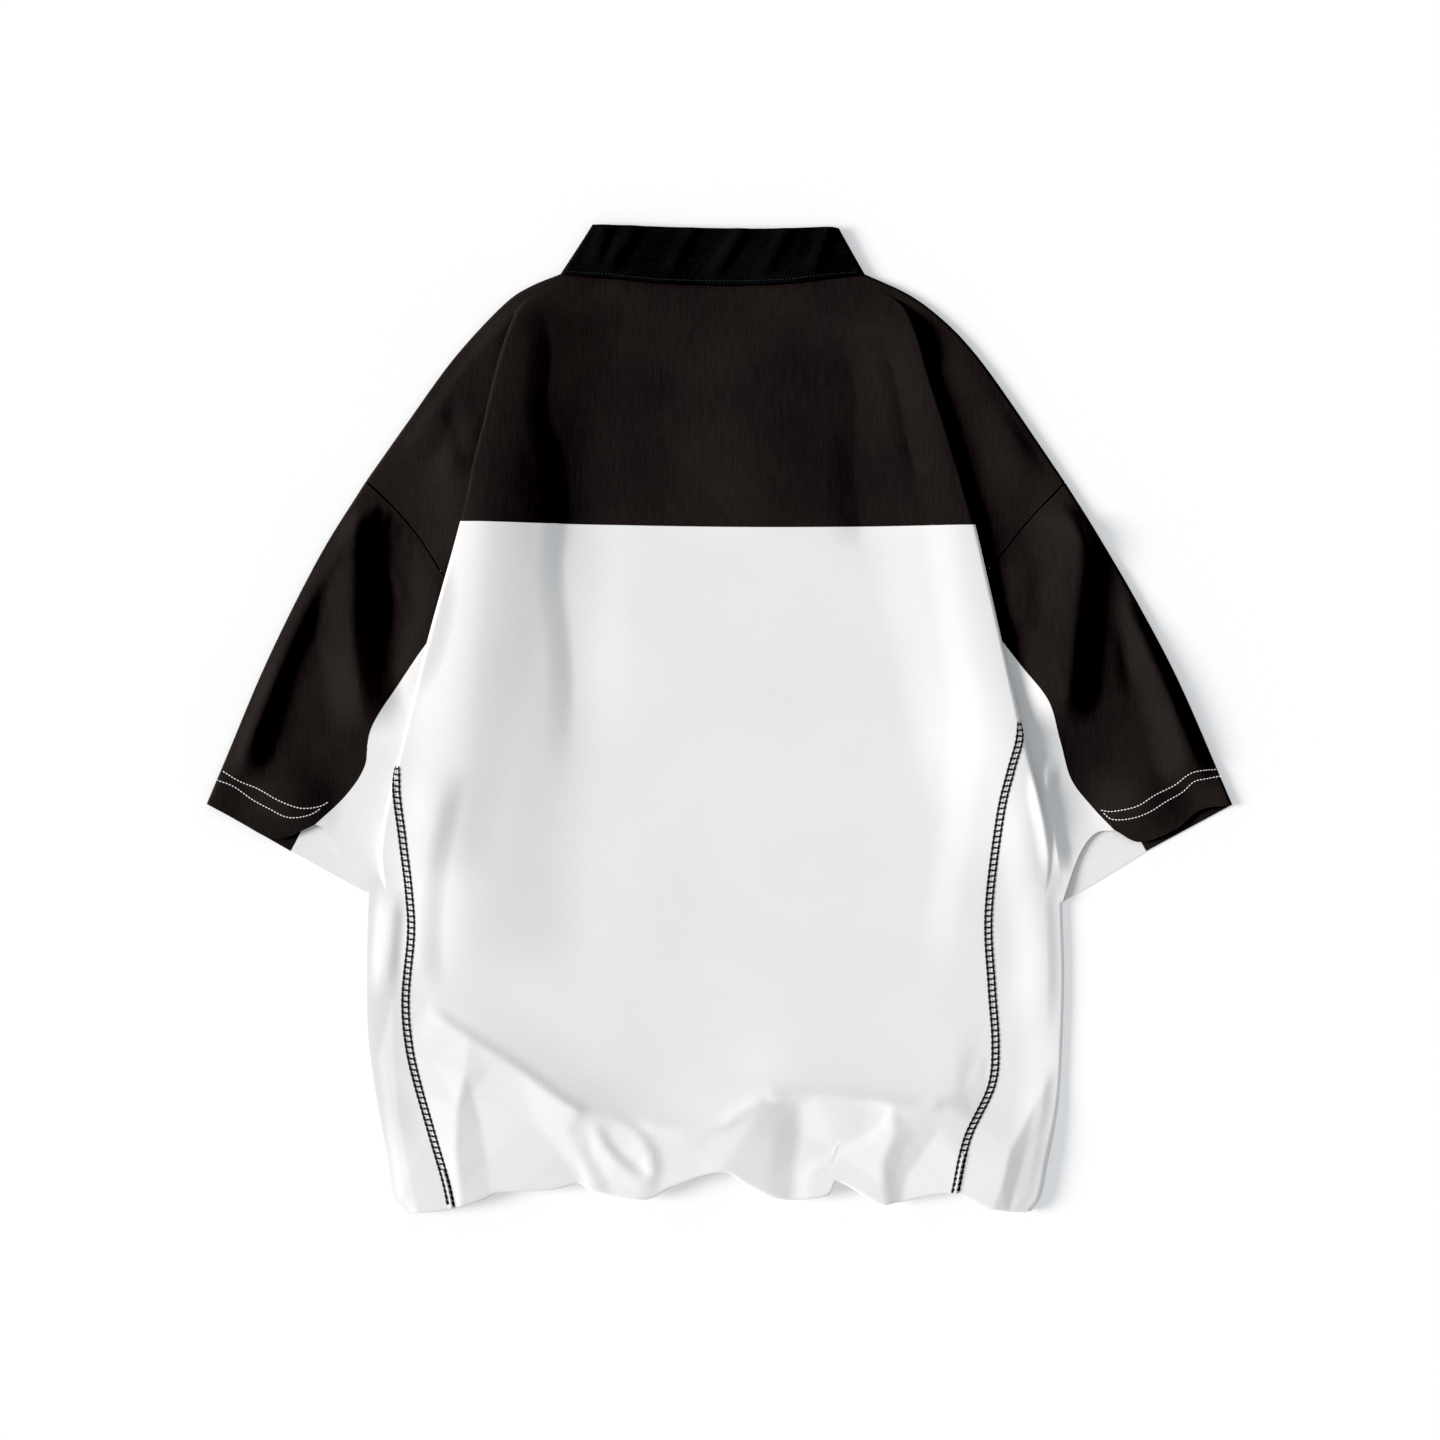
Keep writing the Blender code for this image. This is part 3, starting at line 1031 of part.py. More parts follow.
def collar_row(base, top, height, steps):
    """Plan of a row between the collar's base seam and its free edge."""
    low = both_edges(resample(smooth_line(base), steps))
    high = both_edges(resample(smooth_line(top), steps))
    return (1 - height) * low + height * high


def collar_round(row):
    run = lengths(row)
    distance = np.minimum(run, run[-1] - run)
    radius = EDGE_RADIUS
    inside = np.clip(distance, 0, radius)
    return radius, np.sqrt(radius ** 2 - (radius - inside) ** 2)


def clear_scene():
    for item in list(bpy.data.objects):
        bpy.data.objects.remove(item, do_unlink=True)


def main():
    clear_scene()
    collection = bpy.data.collections.new(NAME)
    bpy.context.scene.collection.children.link(collection)
    collar(collection)
    back_yoke(collection)
    back_panel(collection)
    front_yoke(collection)
    front_panel(collection)
    for side in SIGN:
        sleeve(side, collection)
        side_piece(side, collection)


main()
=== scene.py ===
# An oversized two-tone t-shirt laid out flat, seen from behind.
# Its tables are in millimetres, with x to the right and y towards the collar as seen from above.
import math

import bmesh
import bpy
import numpy as np
from mathutils import Matrix, Vector
from mathutils.geometry import delaunay_2d_cdt


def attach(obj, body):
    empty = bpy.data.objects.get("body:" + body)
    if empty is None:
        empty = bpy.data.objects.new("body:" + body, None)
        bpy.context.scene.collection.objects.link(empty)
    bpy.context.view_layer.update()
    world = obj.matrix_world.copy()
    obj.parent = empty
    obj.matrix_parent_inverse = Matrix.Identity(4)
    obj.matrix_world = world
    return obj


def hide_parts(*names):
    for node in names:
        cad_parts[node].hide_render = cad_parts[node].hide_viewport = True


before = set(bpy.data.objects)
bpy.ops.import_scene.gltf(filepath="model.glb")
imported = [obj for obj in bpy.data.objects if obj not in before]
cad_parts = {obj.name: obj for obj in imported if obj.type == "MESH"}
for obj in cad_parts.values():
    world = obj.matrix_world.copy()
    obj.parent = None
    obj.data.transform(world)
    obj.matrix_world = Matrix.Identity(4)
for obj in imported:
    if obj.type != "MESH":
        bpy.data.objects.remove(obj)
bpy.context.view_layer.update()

mm = 0.001
sides = {"left": -1.0, "right": 1.0}

cloth = {
    "wall": 1.2,
    "seamGap": 0.16,         # each panel stops this far short of its seam
    "hiddenGap": 0.45,       # the same inside a fold
    "level": 3.0,            # upper layer over the lower one
    "edgeRadius": 2.4,       # outer folds
    "hemEdgeRadius": 4.6,
    "hemEdge": (-325.0, -270.0),
    "edgeBlend": 30.0,
    "hemLevel": 9.6,
    "hemRise": 62.0,
    "hemTurn": 2.8,
    "hemRow": 14.0,
    "fine": 6,               # grid steps for each step of the coarse layout
}

outline = {
    "neckBack": [(-118.5, 333.8), (-81.8, 331.5), (-45.8, 327.8), (7.5, 326.3), (49.5, 327.8), (76.0, 331.0),
                 (107.3, 333.8)],
    "neckFront": [(-118.5, 333.8), (-95.0, 296.0), (-52.0, 265.0), (-5.0, 255.0), (42.0, 265.0), (84.0, 296.0),
                  (107.3, 333.8)],
    "collarTopBack": [(-95.0, 369.5), (-88.0, 370.8), (-24.8, 368.6), (33.8, 367.8), (82.0, 369.0), (88.8, 366.5)],
    "collarTopFront": [(-95.0, 369.5), (-76.0, 333.0), (-45.0, 309.0), (-4.0, 299.0), (37.0, 308.0), (70.0, 331.0),
                       (88.8, 366.5)],
    "yokeSeam": [(-181.5, 148.3), (-123.8, 147.0), (0.0, 144.8), (91.5, 144.8), (178.0, 146.0)],
    "hemBack": [(-238.0, -369.0), (-204.8, -366.0), (-178.5, -358.5), (-163.5, -352.5), (-127.5, -351.0),
                (-105.8, -345.8), (-97.5, -350.5), (-68.3, -357.0), (-51.8, -357.0), (-34.5, -348.0), (0.8, -337.0),
                (20.3, -346.5), (46.5, -357.8), (80.3, -354.8), (88.0, -344.3), (118.5, -360.5), (133.5, -360.0),
                (173.3, -353.3), (201.0, -364.5), (232.0, -368.5)],
    "hemFront": [(-238.0, -369.0), (-202.0, -355.0), (-120.0, -338.0), (0.0, -331.0), (110.0, -338.0),
                 (196.0, -355.0), (232.0, -368.5)],
    "yokeSeamFront": [(-214.0, 105.0), (-190.0, 138.0), (-150.0, 147.0), (0.0, 146.0), (144.0, 147.0),
                      (184.0, 138.0), (208.0, 105.0)],
}
shoulder = {
    "left": [(-118.5, 333.8), (-142.5, 324.0), (-162.8, 309.8), (-198.8, 270.8), (-232.0, 225.0), (-264.8, 178.5)],
    "right": [(107.3, 333.8), (140.3, 318.8), (164.3, 301.5), (186.0, 279.8), (210.0, 248.3), (258.0, 177.8)],
}
sleeveEdge = {
    "left": [(-264.8, 178.5), (-300.0, 121.5), (-338.3, 45.0), (-369.8, -29.3), (-384.0, -63.0)],
    "right": [(258.0, 177.8), (282.0, 139.5), (313.5, 85.5), (345.0, 24.8), (383.3, -63.8)],
}
sideEdge = {
    "left": [(-264.8, -129.8), (-266.3, -181.5), (-265.5, -233.3), (-259.5, -282.0), (-251.3, -333.8),
             (-247.5, -357.0), (-238.0, -369.0)],
    "right": [(255.8, -137.3), (257.3, -191.3), (255.8, -243.0), (252.8, -289.5), (245.3, -330.8), (240.0, -357.0),
              (232.0, -368.5)],
}
armhole = {
    "left": [(-264.8, 178.5), (-243.8, 158.3), (-224.3, 135.0), (-206.3, 108.0), (-187.5, 97.5)],
    "right": [(258.0, 177.8), (228.0, 145.5), (203.3, 114.8), (183.0, 96.0)],
}
underSeam = {
    "left": [(-187.5, 97.5), (-216.8, 60.8), (-234.8, 35.3), (-261.0, -5.3), (-266.0, -34.0), (-280.0, -56.0),
             (-303.0, -78.0)],
    "right": [(183.0, 96.0), (210.0, 60.8), (225.8, 40.5), (246.0, 14.0), (255.0, -16.0), (263.0, -44.0),
              (278.0, -64.0), (295.5, -82.5)],
}
cuffBack = {
    "left": [(-384.0, -63.0), (-359.3, -76.5), (-340.5, -87.0), (-326.0, -88.5), (-303.0, -78.0)],
    "right": [(383.3, -63.8), (360.0, -67.5), (341.3, -82.0), (315.0, -91.5), (295.5, -82.5)],
}
gussetCuff = {
    "left": [(-303.0, -78.0), (-296.0, -82.0), (-285.0, -97.5), (-264.8, -129.8)],
    "right": [(295.5, -82.5), (281.0, -85.0), (269.0, -101.0), (255.8, -137.3)],
}
cuffFront = {
    "left": [(-384.0, -63.0), (-321.8, -98.3), (-264.8, -129.8)],
    "right": [(383.3, -63.8), (319.5, -98.3), (255.8, -137.3)],
}
frontMeeting = {"left": (-214.0, 105.0), "right": (208.0, 105.0)}
coverSeam = {
    "left": [(-241.5, -34.0), (-241.5, -54.8), (-237.0, -88.5), (-232.5, -130.0), (-231.0, -160.5), (-235.5, -207.0),
             (-233.3, -240.8), (-225.8, -274.5), (-206.3, -339.0), (-200.3, -366.0)],
    "right": [(223.5, -0.8), (223.3, -15.0), (216.8, -39.0), (209.3, -72.8), (201.0, -144.8), (203.5, -200.0),
              (206.3, -243.0), (203.0, -274.5), (184.5, -312.8), (175.5, -353.0)],
}
coverSeamFront = {
    "left": [(-214.0, 105.0), (-232.0, -40.0), (-226.0, -200.0), (-202.0, -355.0)],
    "right": [(208.0, 105.0), (222.0, -40.0), (214.0, -200.0), (196.0, -355.0)],
}

longFold = {
    "crestRadius": 2.4,
    "underRadius": 1.4,
    "lead": 6.0,
    "least": 8.0,
    "liftWidth": 85.0,
    "crestSteps": 3,
    "backSteps": 2,
    "underSteps": 2,
    "seamRun": [0, 0, 0, 0, 0, 0.15, 1.0],   # how far a seam has run down at each column of a fold
    "hiddenAbove": -60.0,
    "crest": {
        "left": [(-96.0, 332.6), (-113.0, 328.0), (-130.0, 322.0), (-147.0, 311.0), (-157.0, 292.0),
                 (-167.3, 259.5), (-175.5, 223.5), (-184.5, 187.5), (-192.8, 149.3), (-217.5, 60.0),
                 (-241.5, -33.8), (-251.0, -75.0), (-254.0, -105.0), (-249.0, -130.0), (-242.0, -160.0),
                 (-241.0, -200.0), (-240.0, -243.0), (-233.0, -282.0), (-221.0, -333.0), (-211.0, -368.0)],
        "right": [(88.0, 332.6), (104.0, 328.0), (120.0, 321.0), (137.3, 309.0), (148.0, 285.8), (157.5, 253.5),
                  (170.3, 213.8), (183.0, 171.0), (190.5, 144.8), (210.0, 60.0), (223.5, -0.8), (233.0, -37.5),
                  (243.0, -80.0), (246.0, -108.0), (242.0, -135.0), (233.0, -165.0), (230.0, -200.0),
                  (231.0, -243.0), (226.0, -290.0), (215.0, -333.0), (205.0, -368.0)],
    },
    "sizes": {  # y, depth, turn in degrees
        "left": [(322, 0, 0), (306, 3, 60), (285, 8, 150), (262, 12, 180), (190, 17, 180), (150, 19, 180),
                 (97, 19, 180), (20, 16, 180), (-35, 12, 180), (-75, 6, 150), (-105, 3, 90), (-128, 0, 0)],
        "right": [(322, 0, 0), (306, 3, 60), (285, 8, 150), (262, 12, 180), (190, 16, 180), (150, 18, 180),
                  (97, 18, 180), (40, 15, 180), (0, 9, 160), (-35, 5, 120), (-85, 3, 80), (-134, 0, 0)],
    },
    "climb": {"left": (66.0, -34.0), "right": (84.0, -0.8)},
}

# Soft ridges: crest points; height, width left and right of the crest, fade at both ends, sharpness
ridges = {
    "backLeft": ([(-130.5, 343.5), (-147, 300), (-162.8, 240), (-169.5, 180), (-169.5, 120), (-174.8, 60),
                  (-179.2, 0), (-185.2, -60), (-187.5, -120), (-188.2, -165), (-192, -217.5)],
                 7, 90, 56, 90, 70, 0),
    "backLeftTail": ([(-147, 300), (-162.8, 240), (-168, 180), (-166.5, 120), (-171, 60), (-174, 0),
                      (-181.5, -82.5)],
                     4.5, 95, 100, 90, 110, 0),
    "backLeftLow": ([(-202.5, -26.2), (-214.5, -75), (-222.8, -120), (-225.8, -165), (-223.5, -210)],
                    3.4, 20, 34, 45, 40, 0),
    "backRight": ([(151.5, 292.5), (168.8, 217.5), (178.5, 150), (191.2, 60), (198.8, 0), (191.2, -82.5),
                   (178.5, -165), (172.5, -217.5)],
                  2, 80, 30, 70, 90, 0),
    "leftFlank": ([(-243.8, -120), (-248.2, -170.2), (-253.5, -213.8)],
                  3, 12, 16, 30, 40, 0),
    "rightFlank": ([(225.8, -37.5), (232.5, -109.5), (240, -180), (235.5, -249.8)],
                   2.6, 24, 26, 50, 60, 0),
    "sleeveLeft": ([(-270.8, 165), (-273.8, 111), (-274.5, 66.8), (-269.2, 22.5), (-262.5, -15)],
                   13, 32, 30, 22, 36, 0.35),
    "sleeveLeftOuter": ([(-288, 150), (-312, 100.5), (-334.5, 44.2), (-354, -22.5), (-360, -52.5)],
                        9.5, 22, 32, 40, 36, 0.2),
    "sleeveLeftInner": ([(-220.5, 131.2), (-216.8, 90), (-226.5, 48.8), (-246, 15)],
                        4, 22, 18, 30, 30, 0),
    "sleeveRight": ([(270, 166.5), (268.5, 111), (261.8, 44.2), (256.5, -11.2)],
                    13, 28, 44, 22, 36, 0.35),
    "sleeveRightOuter": ([(306, 120), (315, 82.5), (328.5, 44.2), (344.2, -11.2), (352.5, -60)],
                         10, 38, 24, 50, 34, 0.2),
    "sleeveRightSeam": ([(232.5, 131.2), (226.5, 97.5), (231, 60)],
                        3, 16, 20, 26, 26, 0),
    "shoulderLeft": ([(-236.2, 189.8), (-207.8, 228), (-180, 261.8)],
                     3, 20, 22, 40, 40, 0),
    "shoulderLeftLow": ([(-210, 165), (-193.5, 210), (-180, 240)],
                        2.5, 16, 18, 30, 30, 0),
    "shoulderRight": ([(198.8, 240), (219, 202.5), (240, 165)],
                      3.5, 24, 26, 40, 40, 0),
    "yokeMiddle": ([(28.5, 315), (34.5, 255), (36, 195), (33, 120)],
                   5.5, 110, 80, 60, 60, 0),
    "gussetRight": ([(246, -24), (243.8, -54.8), (249, -83.2), (255.8, -120)],
                    6, 12, 16, 25, 25, 0.3),
    "cuffLeft": ([(-330, -92.2), (-321.8, -60), (-318, -20.2)],
                 9, 42, 42, 45, 50, 0),
    "cuffRight": ([(321.8, -92.2), (315.8, -60), (308.2, -20.2)],
                  10, 42, 42, 45, 50, 0),
    "gatherA": ([(-256.5, 165.8), (-260.2, 153), (-261.8, 139.5)],
                1.3, 3.5, 3.5, 8, 16, 0),
    "gatherB": ([(-249, 159), (-251.2, 144), (-250.5, 129.8)],
                1.1, 3.5, 4, 8, 18, 0),
    "gatherC": ([(-242.2, 152.2), (-242.2, 139.5), (-239.2, 126)],
                1.4, 3.5, 3.5, 8, 18, 0),
    "gatherD": ([(-234.8, 144), (-234, 131.2), (-229.5, 120)],
                1, 3.5, 4, 8, 16, 0),
    "gatherE": ([(-226.5, 135), (-224.2, 123), (-221.2, 113.2)],
                1.2, 3.5, 3.5, 8, 16, 0),
}
# Fine creases that the solids leave out, in the same columns; a negative height is a trough
creases = {
    "yokeTrough": ([(-140, 316), (-132, 301), (-127, 275), (-129, 233), (-118.5, 192), (-115, 150), (-118, 108),
                    (-111, 28), (-116, -60)],
                   -3.0, 52, 20, 40, 110, 0.7),
    "yokeRight": ([(90, 300), (102, 240), (100, 180), (108, 120)],
                  -2.0, 52, 22, 40, 30, 0.6),
    "yokeRightEdge": ([(118, 300), (132, 250), (142, 200), (152, 158)],
                      -1.6, 26, 12, 40, 40, 0.7),
    "hemCrestLeft": ([(-222, -214), (-192, -235), (-154, -259), (-120, -284), (-98, -296)],
                     2.0, 9, 30, 20, 12, 0.8),
    "hemCrestMiddle": ([(-62, -302), (-38, -305), (-18, -306), (2, -303), (18, -291), (35, -282)],
                       1.3, 12, 7, 14, 6, 0.8),
    "hemCrestRight": ([(33, -282), (70, -281), (110, -284), (130, -288), (152, -289), (170, -287)],
                      1.6, 12, 7, 8, 12, 0.8),
    "shoulderFoldLeft": ([(-206, 246), (-196, 214), (-190, 184)],
                         -1.6, 14, 9, 16, 24, 0.5),
    "sleeveTrough": ([(-262, 150), (-252, 112), (-246, 80), (-246, 52)],
                     -3.0, 16, 12, 16, 24, 0.6),
    "sleeveShort": ([(-247, 118), (-240, 98), (-232, 84)],
                    1.4, 7, 6, 10, 14, 0.4),
    "sleeveRightTrough": ([(292, 140), (300, 96), (304, 50), (310, 6)],
                          -2.4, 18, 12, 24, 30, 0.6),
}
# Facets of the gathered hem: ridges and hollows as (x, y, lift)
hemLines = {
    "crest": [(-236.2, -202.5, 0), (-218.2, -217.5, 1), (-187.5, -236.2, 4), (-149.2, -261.8, 6.5),
              (-114.8, -286.5, 8), (-96, -298.5, 8.5), (-81, -297.8, 8.5), (-63.8, -301.5, 7.5),
              (-37.5, -305.2, 7.5), (-20.2, -306, 7.5), (0, -303.8, 7.8), (14.2, -294, 8.8),
              (35.2, -282, 10.4), (52.5, -281.2, 9.4), (70.5, -281.2, 8.5), (110.2, -284.2, 8),
              (129, -288.8, 9.5), (150.8, -289.5, 8), (168, -287.2, 7.5), (183.8, -277.5, 4),
              (198.8, -258.8, 0)],
    "puckerRidge": [(-190.5, -264, 7.6), (-196.5, -291.8, 7.4), (-197.2, -322.5, 5.8), (-194.2, -350.2, 4),
                    (-193.5, -371.2, 3)],
    "puckerValley": [(-190.5, -264, 7.6), (-185.2, -279, 5.4), (-178.5, -303.8, 3.6), (-174, -330, 2.4),
                     (-169.5, -371.2, 1.6)],
    "puckerTop": [(-190.5, -264, 7.6), (-172.5, -260.2, 6.2), (-157.5, -257.2, 6)],
    "softValley": [(-138.8, -299.2, 5), (-121.5, -320.2, 3.2), (-104.2, -341.2, 1.6), (-101.2, -371.2, 1)],
    "softRidge": [(-114.8, -286.5, 8), (-115.5, -303.8, 6.8), (-105, -322.5, 5.2), (-95.2, -343.5, 3.5),
                  (-92.2, -371.2, 3)],
    "rollOutside": [(-96, -298.5, 8.5), (-99, -307.5, 6.6), (-94.5, -326.2, 4.2), (-84, -343.5, 2.6),
                    (-77.2, -371.2, 1.6)],
    "rollInner": [(-94.5, -301.5, 8.4), (-88.5, -315, 8), (-76.5, -330, 6.9), (-65.2, -339.8, 5.9),
                  (-57.8, -348, 5)],
    "rollGroove": [(-90, -300.8, 8.2), (-81.8, -313.5, 6), (-72, -324.8, 4.8), (-61.5, -332.2, 4.2),
                   (-55.5, -337.5, 4.4)],
    "rollOuter": [(-81, -297.8, 8.5), (-62.2, -306.8, 8.9), (-54, -320.2, 8.5), (-51, -333, 7.4),
                  (-54, -343.5, 5.8), (-60, -352.5, 4)],
    "rollFoot": [(-63.8, -301.5, 7.5), (-52.5, -310.5, 6.8), (-45, -324, 5.6), (-42.8, -337.5, 4.4),
                 (-47.2, -354, 3), (-52.5, -371.2, 2)],
    "bandMiddle": [(-20.2, -306, 7.5), (-15, -322.5, 6.6), (-15, -345, 5), (-16.5, -371.2, 4)],
    "notchRidge": [(35.2, -282, 10.4), (24, -300, 9.6), (13.5, -316.5, 8.4), (1.5, -335.2, 7.2),
                   (-3, -371.2, 6)],
    "notchFoot": [(39, -285, 9.8), (41.2, -303.8, 7.6), (39, -322.5, 5.8), (36, -341.2, 4.2), (33.8, -371.2, 3)],
    "flatFoot": [(58.5, -288, 6.4), (60, -309, 2.8), (56.2, -330, 1.4), (52.5, -371.2, 0.4)],
    "sideGroove": [(123.8, -291, 8.3), (118.5, -301.5, 6.8), (106.5, -311.2, 5), (88.5, -320.2, 3.3),
                   (69, -327, 2.3), (60.8, -337.5, 1.7), (60, -371.2, 1.2)],
    "sideRoll": [(129, -288.8, 9.5), (124.5, -304.5, 8.3), (111.8, -316.5, 6.7), (93, -325.5, 4.9),
                 (74.2, -332.2, 3.7), (66.8, -342, 2.9), (69, -371.2, 2.2)],
    "foldRidge": [(129, -288.8, 9.5), (129, -311.2, 9), (121.5, -328.5, 7.8), (121.5, -347.2, 5.8),
                  (126, -371.2, 3.6)],
    "foldValley": [(168, -287.2, 7.5), (163.5, -306, 4.8), (150.8, -324, 3), (138.8, -341.2, 2),
                   (134.2, -371.2, 1.2)],
    "foldSide": [(150.8, -289.5, 8.2), (144.8, -307.5, 6.4), (136.5, -324, 4.9), (131.2, -341.2, 3.4)],
    "seamRight": [(198.8, -258.8, 0), (198.8, -277.5, 2.6), (191.2, -300, 4.6), (181.5, -330, 5),
                  (175.5, -351.8, 4), (174, -371.2, 3.6)],
    "edgeFold": [(235.5, -288, 4), (216, -322.5, 6.8), (210, -349.5, 5.6), (201, -371.2, 4)],
    "edgeFoot": [(241.5, -292.5, 2.4), (228, -322.5, 2.8), (220.5, -348.8, 2.2), (214.5, -371.2, 1.4)],
    "seamLeft": [(-236.2, -202.5, 0), (-233.2, -240.8, 1.2), (-225.8, -274.5, 2.6), (-216.8, -310.5, 2.8),
                 (-206.2, -339, 2), (-198, -371.2, 1.4)],
    "leftSide": [(-245.2, -210, 0), (-244.5, -255, 1.6), (-240, -300, 2), (-232.5, -337.5, 2.6),
                 (-225, -371.2, 2)],
    "midBand": [(-217.5, -255, 3.4), (-206.2, -270, 4.6)],
    "rim": [(-255, -202.5, 0), (-256.5, -255, 0), (-252, -300, 0), (-243.8, -378.8, 0), (232.5, -378.8, 0),
            (244.5, -337.5, 0), (252, -292.5, 0), (253.5, -258.8, 0)],
}
ridgeEdgeFade = 13.0
hemCrest = {"reach": 62.0, "sharpReach": 16.0, "evenOut": 500, "rounding": 2}

layout = {
    "yokeRows": [0, 0.06, 0.12, 0.19, 0.28, 0.39, 0.51, 0.63, 0.75, 0.87, 1.0],
    "rowsToSeam": [0, 0.2, 0.4, 0.58, 0.73, 0.87, 1.0],
    "rowsToArm": [0.09, 0.22, 0.4, 0.6, 0.8, 1.0],
    "sleeveRows": 12,
    "armholeColumns": 7,
    "bodyColumns": 26,
    "sleeveLowerColumns": 4,
    "sideLowerColumns": 4,
    "frontColumns": 10,
    "frontYokeRows": (5, 3),
    "collarBackColumns": 16,
    "collarFrontColumns": 10,
    "collarRows": 3,
    "turnSteps": 6,
    "underSeamReach": 0.8,
    "shoulderRun": 0.52,
}
fine = cloth["fine"]
armRows = len(layout["rowsToSeam"]) + len(layout["rowsToArm"]) - 1
hemRows = 5 * fine + 1


def finer(values, steps=fine):
    values = np.asarray(values, dtype=float)
    at = np.arange(0, (len(values) - 1) * steps + 1) / steps
    return np.interp(at, np.arange(len(values)), values)


def smoothLine(points, steps=12):
    p = np.array(points, dtype=float)
    padded = np.vstack([2 * p[0] - p[1], p, 2 * p[-1] - p[-2]])
    t = np.linspace(0, 1, steps, endpoint=False)[:, None]
    spans = []
    for i in range(len(p) - 1):
        a, b, c, d = padded[i:i + 4]
        spans.append(0.5 * (2 * b + (c - a) * t + (2 * a - 5 * b + 4 * c - d) * t ** 2
                            + (3 * b - a - 3 * c + d) * t ** 3))
    return np.vstack(spans + [p[-1:]])


def runOf(line):
    return np.concatenate([[0], np.cumsum(np.linalg.norm(np.diff(line, axis=0), axis=1))])


def resample(line, fractions):
    run = runOf(line)
    at = np.asarray(fractions) * run[-1]
    return np.stack([np.interp(at, run, line[:, k]) for k in range(line.shape[1])], axis=1)


def spaced(points, count):
    return resample(smoothLine(points), np.linspace(0, 1, count + 1))


def straight(a, b, fractions):
    return np.array(a) + (np.array(b) - np.array(a)) * np.asarray(fractions)[:, None]


def ease(t):
    t = np.clip(t, 0.0, 1.0)
    return t * t * (3 - 2 * t)


def lineMeasure(x, y, line):
    # distance to a line, its side (1 on the left of its direction), and the run along it
    shape = x.shape
    points = np.column_stack([x.ravel(), y.ravel()])
    best = np.full(len(points), np.inf)
    side, along = np.zeros(len(points)), np.zeros(len(points))
    run = 0.0
    for start, end in zip(line[:-1], line[1:]):
        step = end - start
        length = np.hypot(*step)
        offset = points - start
        share = np.clip(offset @ step / length ** 2, 0, 1)
        offset = offset - share[:, None] * step
        distance = np.hypot(offset[:, 0], offset[:, 1])
        nearer = distance < best
        best[nearer] = distance[nearer]
        side[nearer] = np.sign(step[0] * offset[nearer, 1] - step[1] * offset[nearer, 0])
        along[nearer] = run + share[nearer] * length
        run += length
    return best.reshape(shape), side.reshape(shape), along.reshape(shape), run


outerFolds = [smoothLine(table[side], 5) for table in (shoulder, sleeveEdge, sideEdge) for side in sides]
hemBackLine = smoothLine(outline["hemBack"])
hemFrontLine = smoothLine(outline["hemFront"])
hemRun = np.linspace(*hemBackLine[[0, -1], 0], 236)
hemSoft = np.interp(hemRun, hemBackLine[:, 0], hemBackLine[:, 1])
for _ in range(150):
    hemSoft[1:-1] = (hemSoft[:-2] + 2 * hemSoft[1:-1] + hemSoft[2:]) / 4
ridgeLines = [(smoothLine(points, 6), *sizes) for points, *sizes in (ridges | creases).values()]


def hemY(x, line):
    return np.interp(x, line[:, 0], line[:, 1]) + cloth["hemTurn"] / 2


def edgeDistance(x, y):
    return np.min([lineMeasure(x, y, line)[0] for line in outerFolds], axis=0)


def edgeRadius(y):
    return np.interp(y, cloth["hemEdge"], [cloth["hemEdgeRadius"], cloth["edgeRadius"]])


def ridgeHeight(x, y):
    total = np.zeros_like(x)
    for line, height, left, right, startFade, endFade, sharp in ridgeLines:
        low = line.min(axis=0) - max(left, right)
        high = line.max(axis=0) + max(left, right)
        near = (x > low[0]) & (x < high[0]) & (y > low[1]) & (y < high[1])
        if not near.any():
            continue
        distance, side, along, run = lineMeasure(x[near], y[near], line)
        across = np.clip(distance / np.where(side > 0, left, right), 0, 1)
        bump = (1 - sharp) * np.cos(across * math.pi / 2) ** 2 + sharp * (1 - across) ** 2
        total[near] += height * bump * ease(along / startFade) * ease((run - along) / endFade)
    return total


def blurred(values, passes):
    for _ in range(passes):
        padded = np.pad(values, 1, mode="edge")
        values = (padded[1:-1, :-2] + 2 * padded[1:-1, 1:-1] + padded[1:-1, 2:]) / 4
        padded = np.pad(values, 1, mode="edge")
        values = (padded[:-2, 1:-1] + 2 * padded[1:-1, 1:-1] + padded[2:, 1:-1]) / 4
    return values


